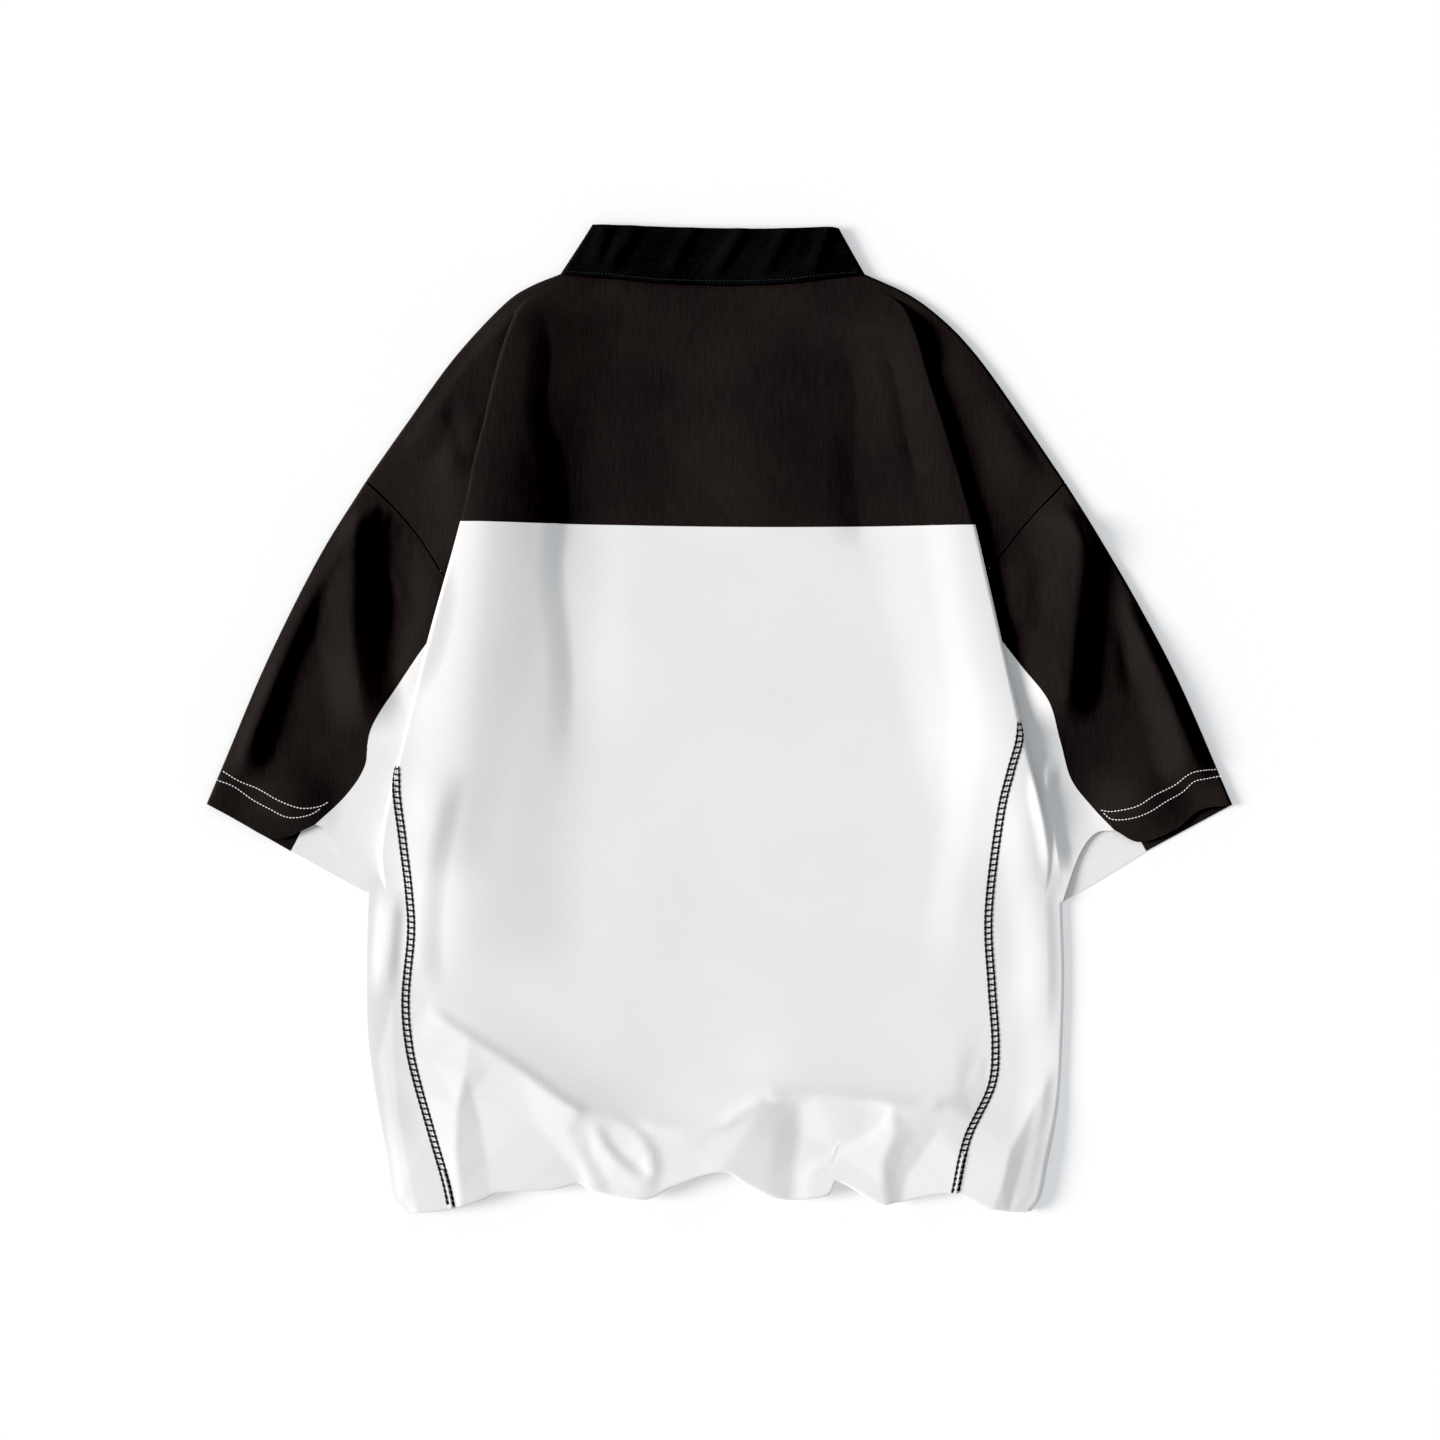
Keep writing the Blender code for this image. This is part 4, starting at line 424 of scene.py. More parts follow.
def hemFacets():
    # lift of the gathered hem every millimetre, flat between its ridges and hollows and a little rounded
    corners, lifts, edges = [], [], []
    for line in hemLines.values():
        held = []
        for x, y, lift in line:
            if (x, y) not in corners:
                corners.append((x, y))
                lifts.append(lift)
            held.append(corners.index((x, y)))
        edges += list(zip(held[:-1], held[1:]))
    flat = delaunay_2d_cdt([Vector(corner) for corner in corners], edges, [], 0, 0.01)
    places = np.array([vertex[:] for vertex in flat[0]])
    heights = []
    for place, source in zip(places, flat[3]):
        nearest = np.argmin(np.hypot(*(np.array(corners) - place).T))
        heights.append(lifts[source[0] if source else nearest])
    across = np.arange(-262.0, 257.0)
    up = np.arange(-384.0, -195.0)
    x, y = np.meshgrid(across, up)
    lift = np.zeros_like(x)
    for face in flat[2]:
        a, b, c = places[face]
        za, zb, zc = [heights[k] for k in face]
        size = (b[0] - a[0]) * (c[1] - a[1]) - (c[0] - a[0]) * (b[1] - a[1])
        if abs(size) > 0.0001:
            s = ((x - a[0]) * (c[1] - a[1]) - (c[0] - a[0]) * (y - a[1])) / size
            t = ((b[0] - a[0]) * (y - a[1]) - (x - a[0]) * (b[1] - a[1])) / size
            inside = (s >= -0.0001) & (t >= -0.0001) & (s + t <= 1.0001)
            lift[inside] = (za + s * (zb - za) + t * (zc - za))[inside]
    crest = np.array(hemLines["crest"])
    crestY = np.interp(across, crest[:, 0], crest[:, 1])
    crestZ = np.interp(across, crest[:, 0], crest[:, 2])
    softY, softZ = crestY.copy(), crestZ.copy()
    for _ in range(hemCrest["evenOut"]):
        for soft in (softY, softZ):
            soft[1:-1] = (soft[:-2] + 2 * soft[1:-1] + soft[2:]) / 4
    softZ *= ease((across - crest[0, 0]) / 24) * ease((crest[-1, 0] - across) / 24)
    far = 1 - np.clip((y - softY) / hemCrest["reach"], 0, 1)
    near = 1 - np.clip((y - crestY) / hemCrest["sharpReach"], 0, 1)
    atCrest = softZ * (1 - np.clip((crestY - softY) / hemCrest["reach"], 0, 1)) ** 2
    above = softZ * far ** 2 + (crestZ - atCrest) * near ** 2
    over = (y > crestY) & (x > crest[0, 0]) & (x < crest[-1, 0])
    return across, up, blurred(np.where(over, above, lift), hemCrest["rounding"])


def hemLift(x, y):
    across, up, lift = hemTable
    atX = np.clip(x - across[0], 0, len(across) - 1.001)
    atY = np.clip(y - up[0], 0, len(up) - 1.001)
    column, row = atX.astype(int), atY.astype(int)
    s, t = atX - column, atY - row
    low = lift[row, column] * (1 - s) + lift[row, column + 1] * s
    high = lift[row + 1, column] * (1 - s) + lift[row + 1, column + 1] * s
    return low * (1 - t) + high * t


hemTable = hemFacets()


def roundHeight(distance, y):
    radius = edgeRadius(y)
    inside = np.clip(distance, 0, radius)
    return radius, np.sqrt(radius ** 2 - (radius - inside) ** 2)


def upperHeight(x, y):
    distance = edgeDistance(x, y)
    radius, half = roundHeight(distance, y)
    hem = 1 - ease((y - np.interp(x, hemRun, hemSoft) - 2 * cloth["hemRow"]) / cloth["hemRise"])
    level = cloth["level"] + (cloth["hemLevel"] - cloth["level"]) * hem
    flat = 2 * radius + (level - 2 * radius) * ease((distance - radius) / cloth["edgeBlend"])
    lift = (ridgeHeight(x, y) + hemLift(x, y)) * ease(distance / ridgeEdgeFade)
    return cloth["wall"] / 2 + np.where(distance < radius, radius + half, flat) + lift


def lowerHeight(x, y):
    radius, half = roundHeight(edgeDistance(x, y), y)
    return cloth["wall"] / 2 + radius - half


class Fold:
    # one long fold; distances along its section start where the body's cloth starts to turn
    def __init__(self, side):
        self.sign = sides[side]
        self.line = smoothLine(longFold["crest"][side])[::-1]
        self.table = np.array(longFold["sizes"][side], dtype=float)[::-1]
        self.cover = smoothLine(coverSeam[side])[::-1]
        self.climb = longFold["climb"][side]

    def sizes(self, y):
        depth = np.interp(y, self.table[:, 0], self.table[:, 1])
        turn = np.radians(np.interp(y, self.table[:, 0], self.table[:, 2]))
        return depth, turn

    def start(self, y):
        crest = self.sign * np.interp(y, self.line[:, 1], self.line[:, 0])
        return crest - longFold["crestRadius"] * np.sin(np.minimum(self.sizes(y)[1], math.pi / 2))

    def section(self, d, y):
        crestRadius, underRadius = longFold["crestRadius"], longFold["underRadius"]
        depth, turn = self.sizes(y)
        crest = crestRadius * turn
        back = crest + depth
        end = back + underRadius * turn
        first = np.clip(d, 0, crest) / crestRadius
        middle = np.clip(d - crest, 0, depth)
        last = turn - np.clip(d - back, 0, end - back) / underRadius
        run = (np.minimum(d, 0) + crestRadius * np.sin(first) + middle * np.cos(turn)
               + underRadius * (np.sin(turn) - np.sin(last)) + np.maximum(d - end, 0))
        drop = (crestRadius * (1 - np.cos(first)) + middle * np.sin(turn)
                + underRadius * (np.cos(last) - np.cos(turn)))
        return run, drop

    def columns(self, y):
        depth, turn = self.sizes(y)
        crestRadius, underRadius = longFold["crestRadius"], longFold["underRadius"]
        share = np.maximum(0, longFold["least"] - depth - (crestRadius + underRadius) * turn) / 3
        parts = [(longFold["lead"] + 0 * turn, 1), (crestRadius * turn + share, longFold["crestSteps"]),
                 (depth + share, longFold["backSteps"]), (underRadius * turn + share, longFold["underSteps"])]
        found = [-longFold["lead"] + 0 * turn]
        for size, steps in parts:
            for _ in range(steps * fine):
                found.append(found[-1] + size / (steps * fine))
        return np.stack(found, axis=0)

    def dropAll(self, y):
        depth, turn = self.sizes(y)
        return (longFold["crestRadius"] + longFold["underRadius"]) * (1 - np.cos(turn)) + depth * np.sin(turn)

    def lift(self, x, y):
        inward = self.start(y) - self.sign * x
        return self.dropAll(y) * (1 - ease(inward / longFold["liftWidth"]))

    def point(self, d, y):
        run, drop = self.section(d, y)
        x = self.sign * (self.start(y) + run)
        lift = np.where(d <= 0, self.lift(x, y), self.dropAll(y) - drop)
        return np.stack([x, y, upperHeight(x, y) + lift], axis=-1)

    def seam(self, y):
        y = np.asarray(y, dtype=float)
        hidden = self.columns(y)[innerColumns]
        low, out = self.climb
        share = np.clip((y - out) / (low - out), 0, 1)
        cover = self.sign * np.interp(y, self.cover[:, 1], self.cover[:, 0])
        start = self.start(y)
        turned = longFold["crestRadius"] * np.arcsin(np.clip((cover - start) / longFold["crestRadius"], 0, 1))
        shown = np.where(cover > start, turned, cover - start)
        return np.where(y > out, shown + (hidden - shown) * share, shown)


innerColumns = (1 + longFold["crestSteps"] + longFold["backSteps"]) * fine
allColumns = innerColumns + longFold["underSteps"] * fine
foldsOf = {side: Fold(side) for side in sides}
seamRun = finer(longFold["seamRun"])


def bodyPoints(plan):
    x, y = plan[..., 0], plan[..., 1]
    lift = sum(fold.lift(x, y) for fold in foldsOf.values())
    return np.dstack([x, y, upperHeight(x, y) + lift])


def raised(plan, height):
    x, y = plan[..., 0], plan[..., 1]
    return np.dstack([x, y, height(x, y)])


def fractionsOf(line):
    run = runOf(line)
    return run / run[-1]


def betweenOutlines(top, bottom, left, right, topReach=1.0):
    u = ((fractionsOf(top) + fractionsOf(bottom)) / 2)[None, :, None]
    v = ((fractionsOf(left) + fractionsOf(right)) / 2)[:, None, None]
    across = (1 - u) * left[:, None] + u * right[:, None]
    width = np.linalg.norm(right - left, axis=1)[:, None, None]
    topBow = (top - (1 - u[0]) * top[0] - u[0] * top[-1]) * width / width[0]
    bottomBow = (bottom - (1 - u[0]) * bottom[0] - u[0] * bottom[-1]) * width / width[-1]
    return across + topBow * np.clip(1 - v / topReach, 0, 1) + bottomBow * v


def edgeColumns(width, radius, count):
    near = min(radius, 0.4 * width) / width
    return finer(np.concatenate([[0, 0.25 * near], np.linspace(near, 1, count)]))


def pulledIn(points, firstRow=0.0, lastRow=0.0, firstColumn=0.0, lastColumn=0.0):
    def pulled(edge, inner, size):
        along = np.gradient(edge, axis=0)
        along /= np.linalg.norm(along, axis=-1, keepdims=True)
        step = inner - edge
        step -= (step * along).sum(-1, keepdims=True) * along
        step /= np.linalg.norm(step, axis=-1, keepdims=True)
        return edge + step * np.broadcast_to(size, len(edge))[:, None]
    p = points.copy()
    p[0] = pulled(p[0], p[1], firstRow)
    p[-1] = pulled(p[-1], p[-2], lastRow)
    p[:, 0] = pulled(p[:, 0], p[:, 1], firstColumn)
    p[:, -1] = pulled(p[:, -1], p[:, -2], lastColumn)
    return p


def seamGaps(y):
    return np.where(y > longFold["hiddenAbove"], cloth["hiddenGap"], cloth["seamGap"])


def turnedUnder(points):
    turn = cloth["hemTurn"]
    down = np.gradient(points, axis=0)
    across = np.gradient(points, axis=1)
    normal = np.cross(across, down)
    normal /= np.linalg.norm(normal, axis=-1, keepdims=True)
    edge, inward = points[-1], normal[-1]
    out = down[-1] - (down[-1] * inward).sum(-1, keepdims=True) * inward
    out /= np.linalg.norm(out, axis=-1, keepdims=True)
    rows = [edge]
    for k in range(1, layout["turnSteps"]):
        angle = math.pi * k / layout["turnSteps"]
        rows.append(edge + inward * turn / 2 * (1 - math.cos(angle)) + out * turn / 2 * math.sin(angle))
    rows += [points[-1 - row] + normal[-1 - row] * turn for row in range(2 * fine + 1)]
    return np.stack(rows)


def layGrid(bm, points):
    rows, columns = points.shape[:2]
    made = bmesh.ops.create_grid(bm, x_segments=columns - 1, y_segments=rows - 1, size=1.0)
    for vertex in made["verts"]:
        column = round((vertex.co.x + 1) / 2 * (columns - 1))
        row = round((1 - vertex.co.y) / 2 * (rows - 1))
        vertex.co = points[row, column] * mm


def clothPiece(name, grids, finish, node, wall=cloth["wall"]):
    bm = bmesh.new()
    for points in grids:
        layGrid(bm, points)
    bmesh.ops.remove_doubles(bm, verts=bm.verts, dist=0.00001)
    bmesh.ops.recalc_face_normals(bm, faces=bm.faces)
    mesh = bpy.data.meshes.new(name)
    bm.to_mesh(mesh)
    bm.free()
    mesh.shade_smooth()
    sheet = bpy.data.objects.new(name + "Sheet", mesh)
    bpy.context.scene.collection.objects.link(sheet)
    solid = sheet.modifiers.new("wall", "SOLIDIFY")
    solid.thickness = wall * mm
    solid.offset = 0.0
    depsgraph = bpy.context.evaluated_depsgraph_get()
    walled = bpy.data.meshes.new_from_object(sheet.evaluated_get(depsgraph))
    walled.name = name
    bpy.data.objects.remove(sheet, do_unlink=True)
    walled.set_sharp_from_angle(angle=math.radians(55))
    walled.materials.clear()
    walled.materials.append(finish)
    piece = bpy.data.objects.new(name, walled)
    bpy.context.scene.collection.objects.link(piece)
    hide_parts(node)
    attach(piece, "root")
    area = sum(areaOf(points) for points in grids)
    sizes = [(round(max(runOf(row)[-1] for row in grid)), round(max(runOf(line)[-1] for line in grid.transpose(1, 0, 2))))
             for grid in grids]
    print("made", name, len(walled.polygons), "faces, sheet area", round(area, 4), "m2, grids", sizes)
    return piece


def areaOf(points):
    a = points[1:, 1:] - points[:-1, :-1]
    b = points[1:, :-1] - points[:-1, 1:]
    return float(np.linalg.norm(np.cross(a, b), axis=-1).sum() / 2 * mm * mm)


jersey = {
    "white": {"deep": (0.765, 0.758, 0.752), "pale": (0.82, 0.812, 0.803), "roughness": 0.92, "sheen": 0.1,
              "waleScale": (1500.0, 420.0, 1500.0)},   # the knit's grain, finer across than along
    "black": {"deep": (0.0172, 0.0150, 0.0141), "pale": (0.0278, 0.0229, 0.0206), "roughness": 0.9, "sheen": 0.0,
              "waleScale": (760.0, 60.0, 760.0)},      # slub: fine streaks down the length
    "collarBlack": {"deep": (0.0108, 0.0102, 0.0100), "pale": (0.0162, 0.0150, 0.0145), "roughness": 0.9,
                    "sheen": 0.0, "waleScale": (260.0, 620.0, 260.0)},
    "cloudScale": 9.0,
    "weaveDepth": 0.25,
}


def newNode(tree, kind, place, **settings):
    node = tree.nodes.new(kind)
    node.location = place
    for key, value in settings.items():
        if key in node.inputs:
            node.inputs[key].default_value = value
        else:
            setattr(node, key, value)
    return node


def jerseyFinish(name, look):
    material = bpy.data.materials.new(name)
    material.use_nodes = True
    tree = material.node_tree
    shader = tree.nodes["Principled BSDF"]
    shader.inputs["Roughness"].default_value = look["roughness"]
    shader.inputs["Sheen Weight"].default_value = look["sheen"]
    shader.inputs["Sheen Roughness"].default_value = 0.5
    shader.inputs["Specular IOR Level"].default_value = 0.05
    coords = newNode(tree, "ShaderNodeTexCoord", (-1100, 0))
    stretch = newNode(tree, "ShaderNodeMapping", (-900, 60), Scale=look["waleScale"])
    wales = newNode(tree, "ShaderNodeTexNoise", (-700, 60), Scale=1.0, Detail=2.0, Roughness=0.6)
    cloud = newNode(tree, "ShaderNodeTexNoise", (-700, -240), Scale=jersey["cloudScale"], Detail=4.0)
    tree.links.new(coords.outputs["Object"], stretch.inputs["Vector"])
    tree.links.new(stretch.outputs["Vector"], wales.inputs["Vector"])
    tree.links.new(coords.outputs["Object"], cloud.inputs["Vector"])
    mixed = newNode(tree, "ShaderNodeMath", (-480, -60), operation="MULTIPLY_ADD")
    tree.links.new(wales.outputs["Fac"], mixed.inputs[0])
    mixed.inputs[1].default_value = 0.6
    tree.links.new(cloud.outputs["Fac"], mixed.inputs[2])
    ramp = newNode(tree, "ShaderNodeValToRGB", (-300, 120))
    ramp.color_ramp.elements[0].position = 0.5
    ramp.color_ramp.elements[0].color = (*look["deep"], 1)
    ramp.color_ramp.elements[1].position = 1.0
    ramp.color_ramp.elements[1].color = (*look["pale"], 1)
    tree.links.new(mixed.outputs[0], ramp.inputs["Fac"])
    tree.links.new(ramp.outputs["Color"], shader.inputs["Base Color"])
    bump = newNode(tree, "ShaderNodeBump", (-220, -220), Strength=jersey["weaveDepth"], Distance=0.0003)
    tree.links.new(wales.outputs["Fac"], bump.inputs["Height"])
    tree.links.new(bump.outputs["Normal"], shader.inputs["Normal"])
    return material


whiteJersey = jerseyFinish("whiteJersey", jersey["white"])
blackJersey = jerseyFinish("blackJersey", jersey["black"])
collarJersey = jerseyFinish("collarJersey", jersey["collarBlack"])


def foldStrip(fold, bodyY, edgeY, columns):
    rows = []
    for body, edge in zip(bodyY, edgeY):
        y = np.append(body + (edge - body) * seamRun, [edge] * (allColumns - innerColumns))[:columns + 1]
        table = fold.columns(y)
        d = table[np.arange(columns + 1), np.arange(columns + 1)]
        rows.append(fold.point(d, y))
    return np.stack(rows)


def outerGuide(fold, y):
    return fold.point(fold.columns(y)[-1], y)


def yokeOutside(side):
    fold = foldsOf[side]
    yokeRows = finer(layout["yokeRows"])
    top = fold.line[-1, 1]
    meet = armhole[side][-1][1]
    y = top + (meet - top) * yokeRows
    inner = outerGuide(fold, y)[:, :2]
    line = smoothLine(shoulder[side])[::-1]
    run = yokeRows * (1 + layout["shoulderRun"] * (1 - yokeRows))
    shoulderY = line[-1, 1] + (line[0, 1] - line[-1, 1]) * run
    outer = np.column_stack([np.interp(shoulderY, line[:, 1], line[:, 0]), shoulderY])
    hole = smoothLine(armhole[side])
    hole[-1] = inner[-1]
    rows = []
    for row in range(len(y)):
        width = np.linalg.norm(inner[row] - outer[row])
        steps = edgeColumns(width, cloth["edgeRadius"], layout["armholeColumns"])
        bulge = resample(hole, steps) - straight(outer[-1], inner[-1], steps)
        rows.append(straight(outer[row], inner[row], steps) + bulge * yokeRows[row] ** 2)
    return raised(np.stack(rows), upperHeight)


def bodySpread():
    t = np.linspace(0, 1, layout["bodyColumns"] * fine + 1)
    return t - 0.08 * np.sin(2 * math.pi * t)


def clipLine(line, start, end, fractions):
    keep = line[(line[:, 0] > start[0] + 3) & (line[:, 0] < end[0] - 3)]
    return resample(np.vstack([start, keep, end]), fractions)


def hiddenGaps(count, hidden):
    gaps = np.full(count, cloth["seamGap"])
    gaps[:hidden] = cloth["hiddenGap"]
    gaps[-hidden:] = cloth["hiddenGap"]
    return gaps


def backYoke():
    parts, guides = [], {}
    yokeRows = finer(layout["yokeRows"])
    for side, fold in foldsOf.items():
        top = fold.line[-1, 1]
        seam = outline["yokeSeam"][0][1] if side == "left" else outline["yokeSeam"][-1][1]
        strip = foldStrip(fold, top + (seam - top) * yokeRows, top + (armhole[side][-1][1] - top) * yokeRows,
                          allColumns)
        guides[side] = strip[:, 0, :2]
        outside = yokeOutside(side)
        if side == "left":
            parts.append(np.hstack([outside, strip[:, ::-1][:, 1:]]))
        else:
            parts.append(np.hstack([strip, outside[:, ::-1][:, 1:]]))
    spread = bodySpread()
    top = clipLine(smoothLine(outline["neckBack"]), guides["left"][0], guides["right"][0], spread)
    bottom = clipLine(smoothLine(outline["yokeSeam"]), guides["left"][-1], guides["right"][-1], spread)
    body = bodyPoints(betweenOutlines(top, bottom, guides["left"], guides["right"]))
    whole = np.hstack([parts[0], body[:, 1:-1], parts[1]])
    shown = (1 + longFold["crestSteps"]) * fine
    bottomGaps = hiddenGaps(len(whole[0]), parts[0].shape[1] - shown)
    return pulledIn(whole, cloth["seamGap"], bottomGaps, cloth["hiddenGap"], cloth["hiddenGap"])


def seamRows(side):
    meet = armhole[side][-1][1]
    out = longFold["climb"][side][1]
    arm = sideEdge[side][0][1]
    last = hemY(coverSeam[side][-1][0], hemBackLine) + 3 * cloth["hemRow"]
    coarse = np.concatenate([meet + (out - meet) * np.array(layout["rowsToSeam"]),
                             out + (arm - out) * np.array(layout["rowsToArm"]),
                             np.linspace(arm, last, 14)[1:], last - cloth["hemRow"] * np.arange(1, 4)])
    return finer(coarse)


def panelStrip(side):
    fold = foldsOf[side]
    edgeY = seamRows(side)
    rise = (outline["yokeSeam"][0][1] if side == "left" else outline["yokeSeam"][-1][1]) - edgeY[0]
    bodyY = edgeY + rise * (1 - ease(np.arange(len(edgeY)) / fine / 8))
    inner = fold.columns(edgeY)[innerColumns]
    seam = fold.seam(edgeY)
    lead = np.minimum(0, seam) - longFold["lead"]
    rows = []
    for k, (body, edge) in enumerate(zip(bodyY, edgeY)):
        y = body + (edge - body) * seamRun
        table = fold.columns(y)
        d = table[np.arange(innerColumns + 1), np.arange(innerColumns + 1)]
        share = (d + longFold["lead"]) / (inner[k] + longFold["lead"])
        rows.append(fold.point(lead[k] + (seam[k] - lead[k]) * share, y))
    return np.stack(rows)


def hemSnap(points, line):
    # the last rows follow the hem's outline at even depths
    p = points.copy()
    shift = hemY(p[-1, :, 0], line) - p[-1, :, 1]
    for back, share in enumerate(finer([1.0, 1.0, 1.0, 0.75, 0.5, 0.25, 0.0])):
        p[-1 - back, :, 1] += shift * share
    return p


def backPanel():
    strips = {side: panelStrip(side) for side in sides}
    left, right = strips["left"][:, 0, :2], strips["right"][:, 0, :2]
    spread = bodySpread()
    top = clipLine(smoothLine(outline["yokeSeam"]), left[0], right[0], spread)
    bottom = straight(left[-1], right[-1], spread)
    plan = betweenOutlines(top, bottom, left, right)
    plan = np.hstack([strips["left"][:, ::-1][:, :-1, :2], plan, strips["right"][:, 1:, :2]])
    whole = bodyPoints(hemSnap(plan, hemBackLine))
    rows = len(whole) - hemRows - fine
    whole[:rows, :innerColumns + 1] = strips["left"][:rows, ::-1]
    whole[:rows, -innerColumns - 1:] = strips["right"][:rows]
    topGaps = hiddenGaps(len(whole[0]), (longFold["backSteps"] + 1) * fine)
    shown = pulledIn(whole, topGaps, 0, seamGaps(whole[:, 0, 1]), seamGaps(whole[:, -1, 1]))
    return [shown, turnedUnder(shown)]


def edgeSpacing(plan):
    # every row's columns move up to its outer end, so that they go round the outer fold
    count = (plan.shape[1] - 1) // fine
    rows = []
    for k, row in enumerate(plan):
        width = runOf(row)[-1]
        share = min(k / fine / armRows, 1)
        near = (1 - share) / count + share * min(edgeRadius(row[-1, 1]), 0.4 * width) / width
        steps = np.append(np.linspace(0, 1 - near, count), [1 - 0.25 * near, 1])
        rows.append(resample(row, finer(steps)))
    return np.stack(rows)


def sideUpper(side):
    fold = foldsOf[side]
    y = seamRows(side)
    seam = fold.seam(y)
    table = fold.columns(y)
    end = table[-1]
    d = end - (end - table) * (end - seam) / (end + longFold["lead"])
    strip = fold.point(d.T, np.repeat(y[:, None], allColumns + 1, axis=1))
    guide = strip[:, -1, :2]
    cuff = spaced(gussetCuff[side], armRows * fine)
    edge = resample(smoothLine(sideEdge[side]), (y[armRows * fine:] - y[armRows * fine]) / (y[-1] - y[armRows * fine]))
    outer = np.vstack([cuff, edge[1:]])
    under = smoothLine(underSeam[side])
    under[0] = guide[0]
    columns = np.linspace(0, 1, layout["sleeveRows"] * fine + 1)
    plan = betweenOutlines(resample(under, columns), straight(guide[-1], outer[-1], columns), guide, outer,
                           layout["underSeamReach"])
    outside = raised(edgeSpacing(plan), upperHeight)
    return np.hstack([strip, outside[:, 1:]]), outer


def sideLower(side, outer, y):
    cuff = straight(cuffFront[side][1], cuffFront[side][2], np.linspace(0, 1, armRows * fine + 1))
    edge = np.vstack([cuff, outer[armRows * fine + 1:]])
    inner = resample(smoothLine(coverSeamFront[side]), (y - y[0]) / (y[-1] - y[0]))
    steps = np.linspace(0, 1, layout["sideLowerColumns"] * fine + 1)
    return edgeSpacing(betweenOutlines(straight(inner[0], edge[0], steps), straight(inner[-1], edge[-1], steps),
                                       inner, edge))


def sidePiece(side):
    y = seamRows(side)
    upper, outer = sideUpper(side)
    lowPlan = sideLower(side, outer, y)
    upperPlan = hemSnap(upper[..., :2], hemBackLine)
    upper[-hemRows:] = raised(upperPlan[-hemRows:], upperHeight)
    lowPlan = hemSnap(lowPlan, hemFrontLine)
    lowPlan[-hemRows:, -1] = upper[-hemRows:, -1, :2]
    lower = raised(lowPlan, lowerHeight)
    lower[armRows * fine:, -1] = upper[armRows * fine:, -1]
    upper = pulledIn(upper, cloth["seamGap"], 0, seamGaps(y))
    lower = pulledIn(lower, cloth["seamGap"], 0, cloth["seamGap"])
    hems = [upper[-hemRows:, :-2 * fine], lower[-hemRows:, :-2 * fine]]
    if side == "left":
        hems[0] = hems[0][:, ::-1]
    else:
        hems[1] = hems[1][:, ::-1]
    return [upper, lower] + [turnedUnder(hem) for hem in hems]


def sleeve(side):
    fold = foldsOf[side]
    meet = outerGuide(fold, np.array([armhole[side][-1][1]]))[0, :2]
    hole = smoothLine(armhole[side])
    hole[-1] = meet
    under = smoothLine(underSeam[side])
    under[0] = meet
    rows = np.linspace(0, 1, layout["sleeveRows"] * fine + 1)
    inner = resample(under, rows)
    edge = resample(smoothLine(sleeveEdge[side]), rows)
    width = np.linalg.norm(meet - edge[0])
    steps = edgeColumns(width, cloth["edgeRadius"], layout["armholeColumns"])
    upper = raised(betweenOutlines(resample(hole, steps), resample(smoothLine(cuffBack[side]), steps), edge, inner),
                   upperHeight)
    lowSteps = edgeColumns(width, cloth["edgeRadius"], layout["sleeveLowerColumns"])
    lowInner = straight(frontMeeting[side], cuffFront[side][1], rows)
    lower = raised(betweenOutlines(straight(edge[0], frontMeeting[side], lowSteps),
                                   straight(cuffFront[side][0], cuffFront[side][1], lowSteps), edge, lowInner),
                   lowerHeight)
    lower[:, 0] = upper[:, 0]
    whole = np.hstack([upper[:, ::-1], lower[:, 1:]])
    topGaps = np.full(len(whole[0]), cloth["seamGap"])
    topGaps[(layout["armholeColumns"] - 2) * fine:] = cloth["hiddenGap"]
    return pulledIn(whole, topGaps, 0, cloth["seamGap"], cloth["seamGap"])


def bothEdges(row):
    # close columns round both ends of a row, spaced as in the solids
    width = runOf(row)[-1]
    near = cloth["edgeRadius"] / width
    coarse = fractionsOf(row)[::fine][1:-1]
    steps = np.concatenate([[0, 0.25 * near, near], coarse, [1 - near, 1 - 0.25 * near, 1]])
    return resample(row, finer(steps))


def frontYoke():
    shoulderRows, armholeRows = (count * fine for count in layout["frontYokeRows"])
    edges = {}
    for side in sides:
        down = straight(shoulder[side][-1], frontMeeting[side], np.linspace(0, 1, armholeRows + 1))
        edges[side] = np.vstack([spaced(shoulder[side], shoulderRows), down[1:]])
    plan = betweenOutlines(spaced(outline["neckFront"], layout["frontColumns"] * fine),
                           spaced(outline["yokeSeamFront"], layout["frontColumns"] * fine), edges["left"], edges["right"])
    points = raised(np.stack([bothEdges(row) for row in plan]), lowerHeight)
    return pulledIn(points, cloth["seamGap"], cloth["seamGap"], cloth["hiddenGap"], cloth["hiddenGap"])


def frontPanel():
    rows = {}
    for side in sides:
        y = seamRows(side)
        rows[side] = resample(smoothLine(coverSeamFront[side]), (y - y[0]) / (y[-1] - y[0]))
    columns = layout["frontColumns"] * fine
    top = spaced(outline["yokeSeamFront"], columns)
    bottom = straight(rows["left"][-1], rows["right"][-1], np.linspace(0, 1, columns + 1))
    points = raised(hemSnap(betweenOutlines(top, bottom, rows["left"], rows["right"]), hemFrontLine), lowerHeight)
    points = pulledIn(points, cloth["seamGap"], 0, cloth["seamGap"], cloth["seamGap"])
    return [points, turnedUnder(points[:, ::-1])[:, ::-1]]


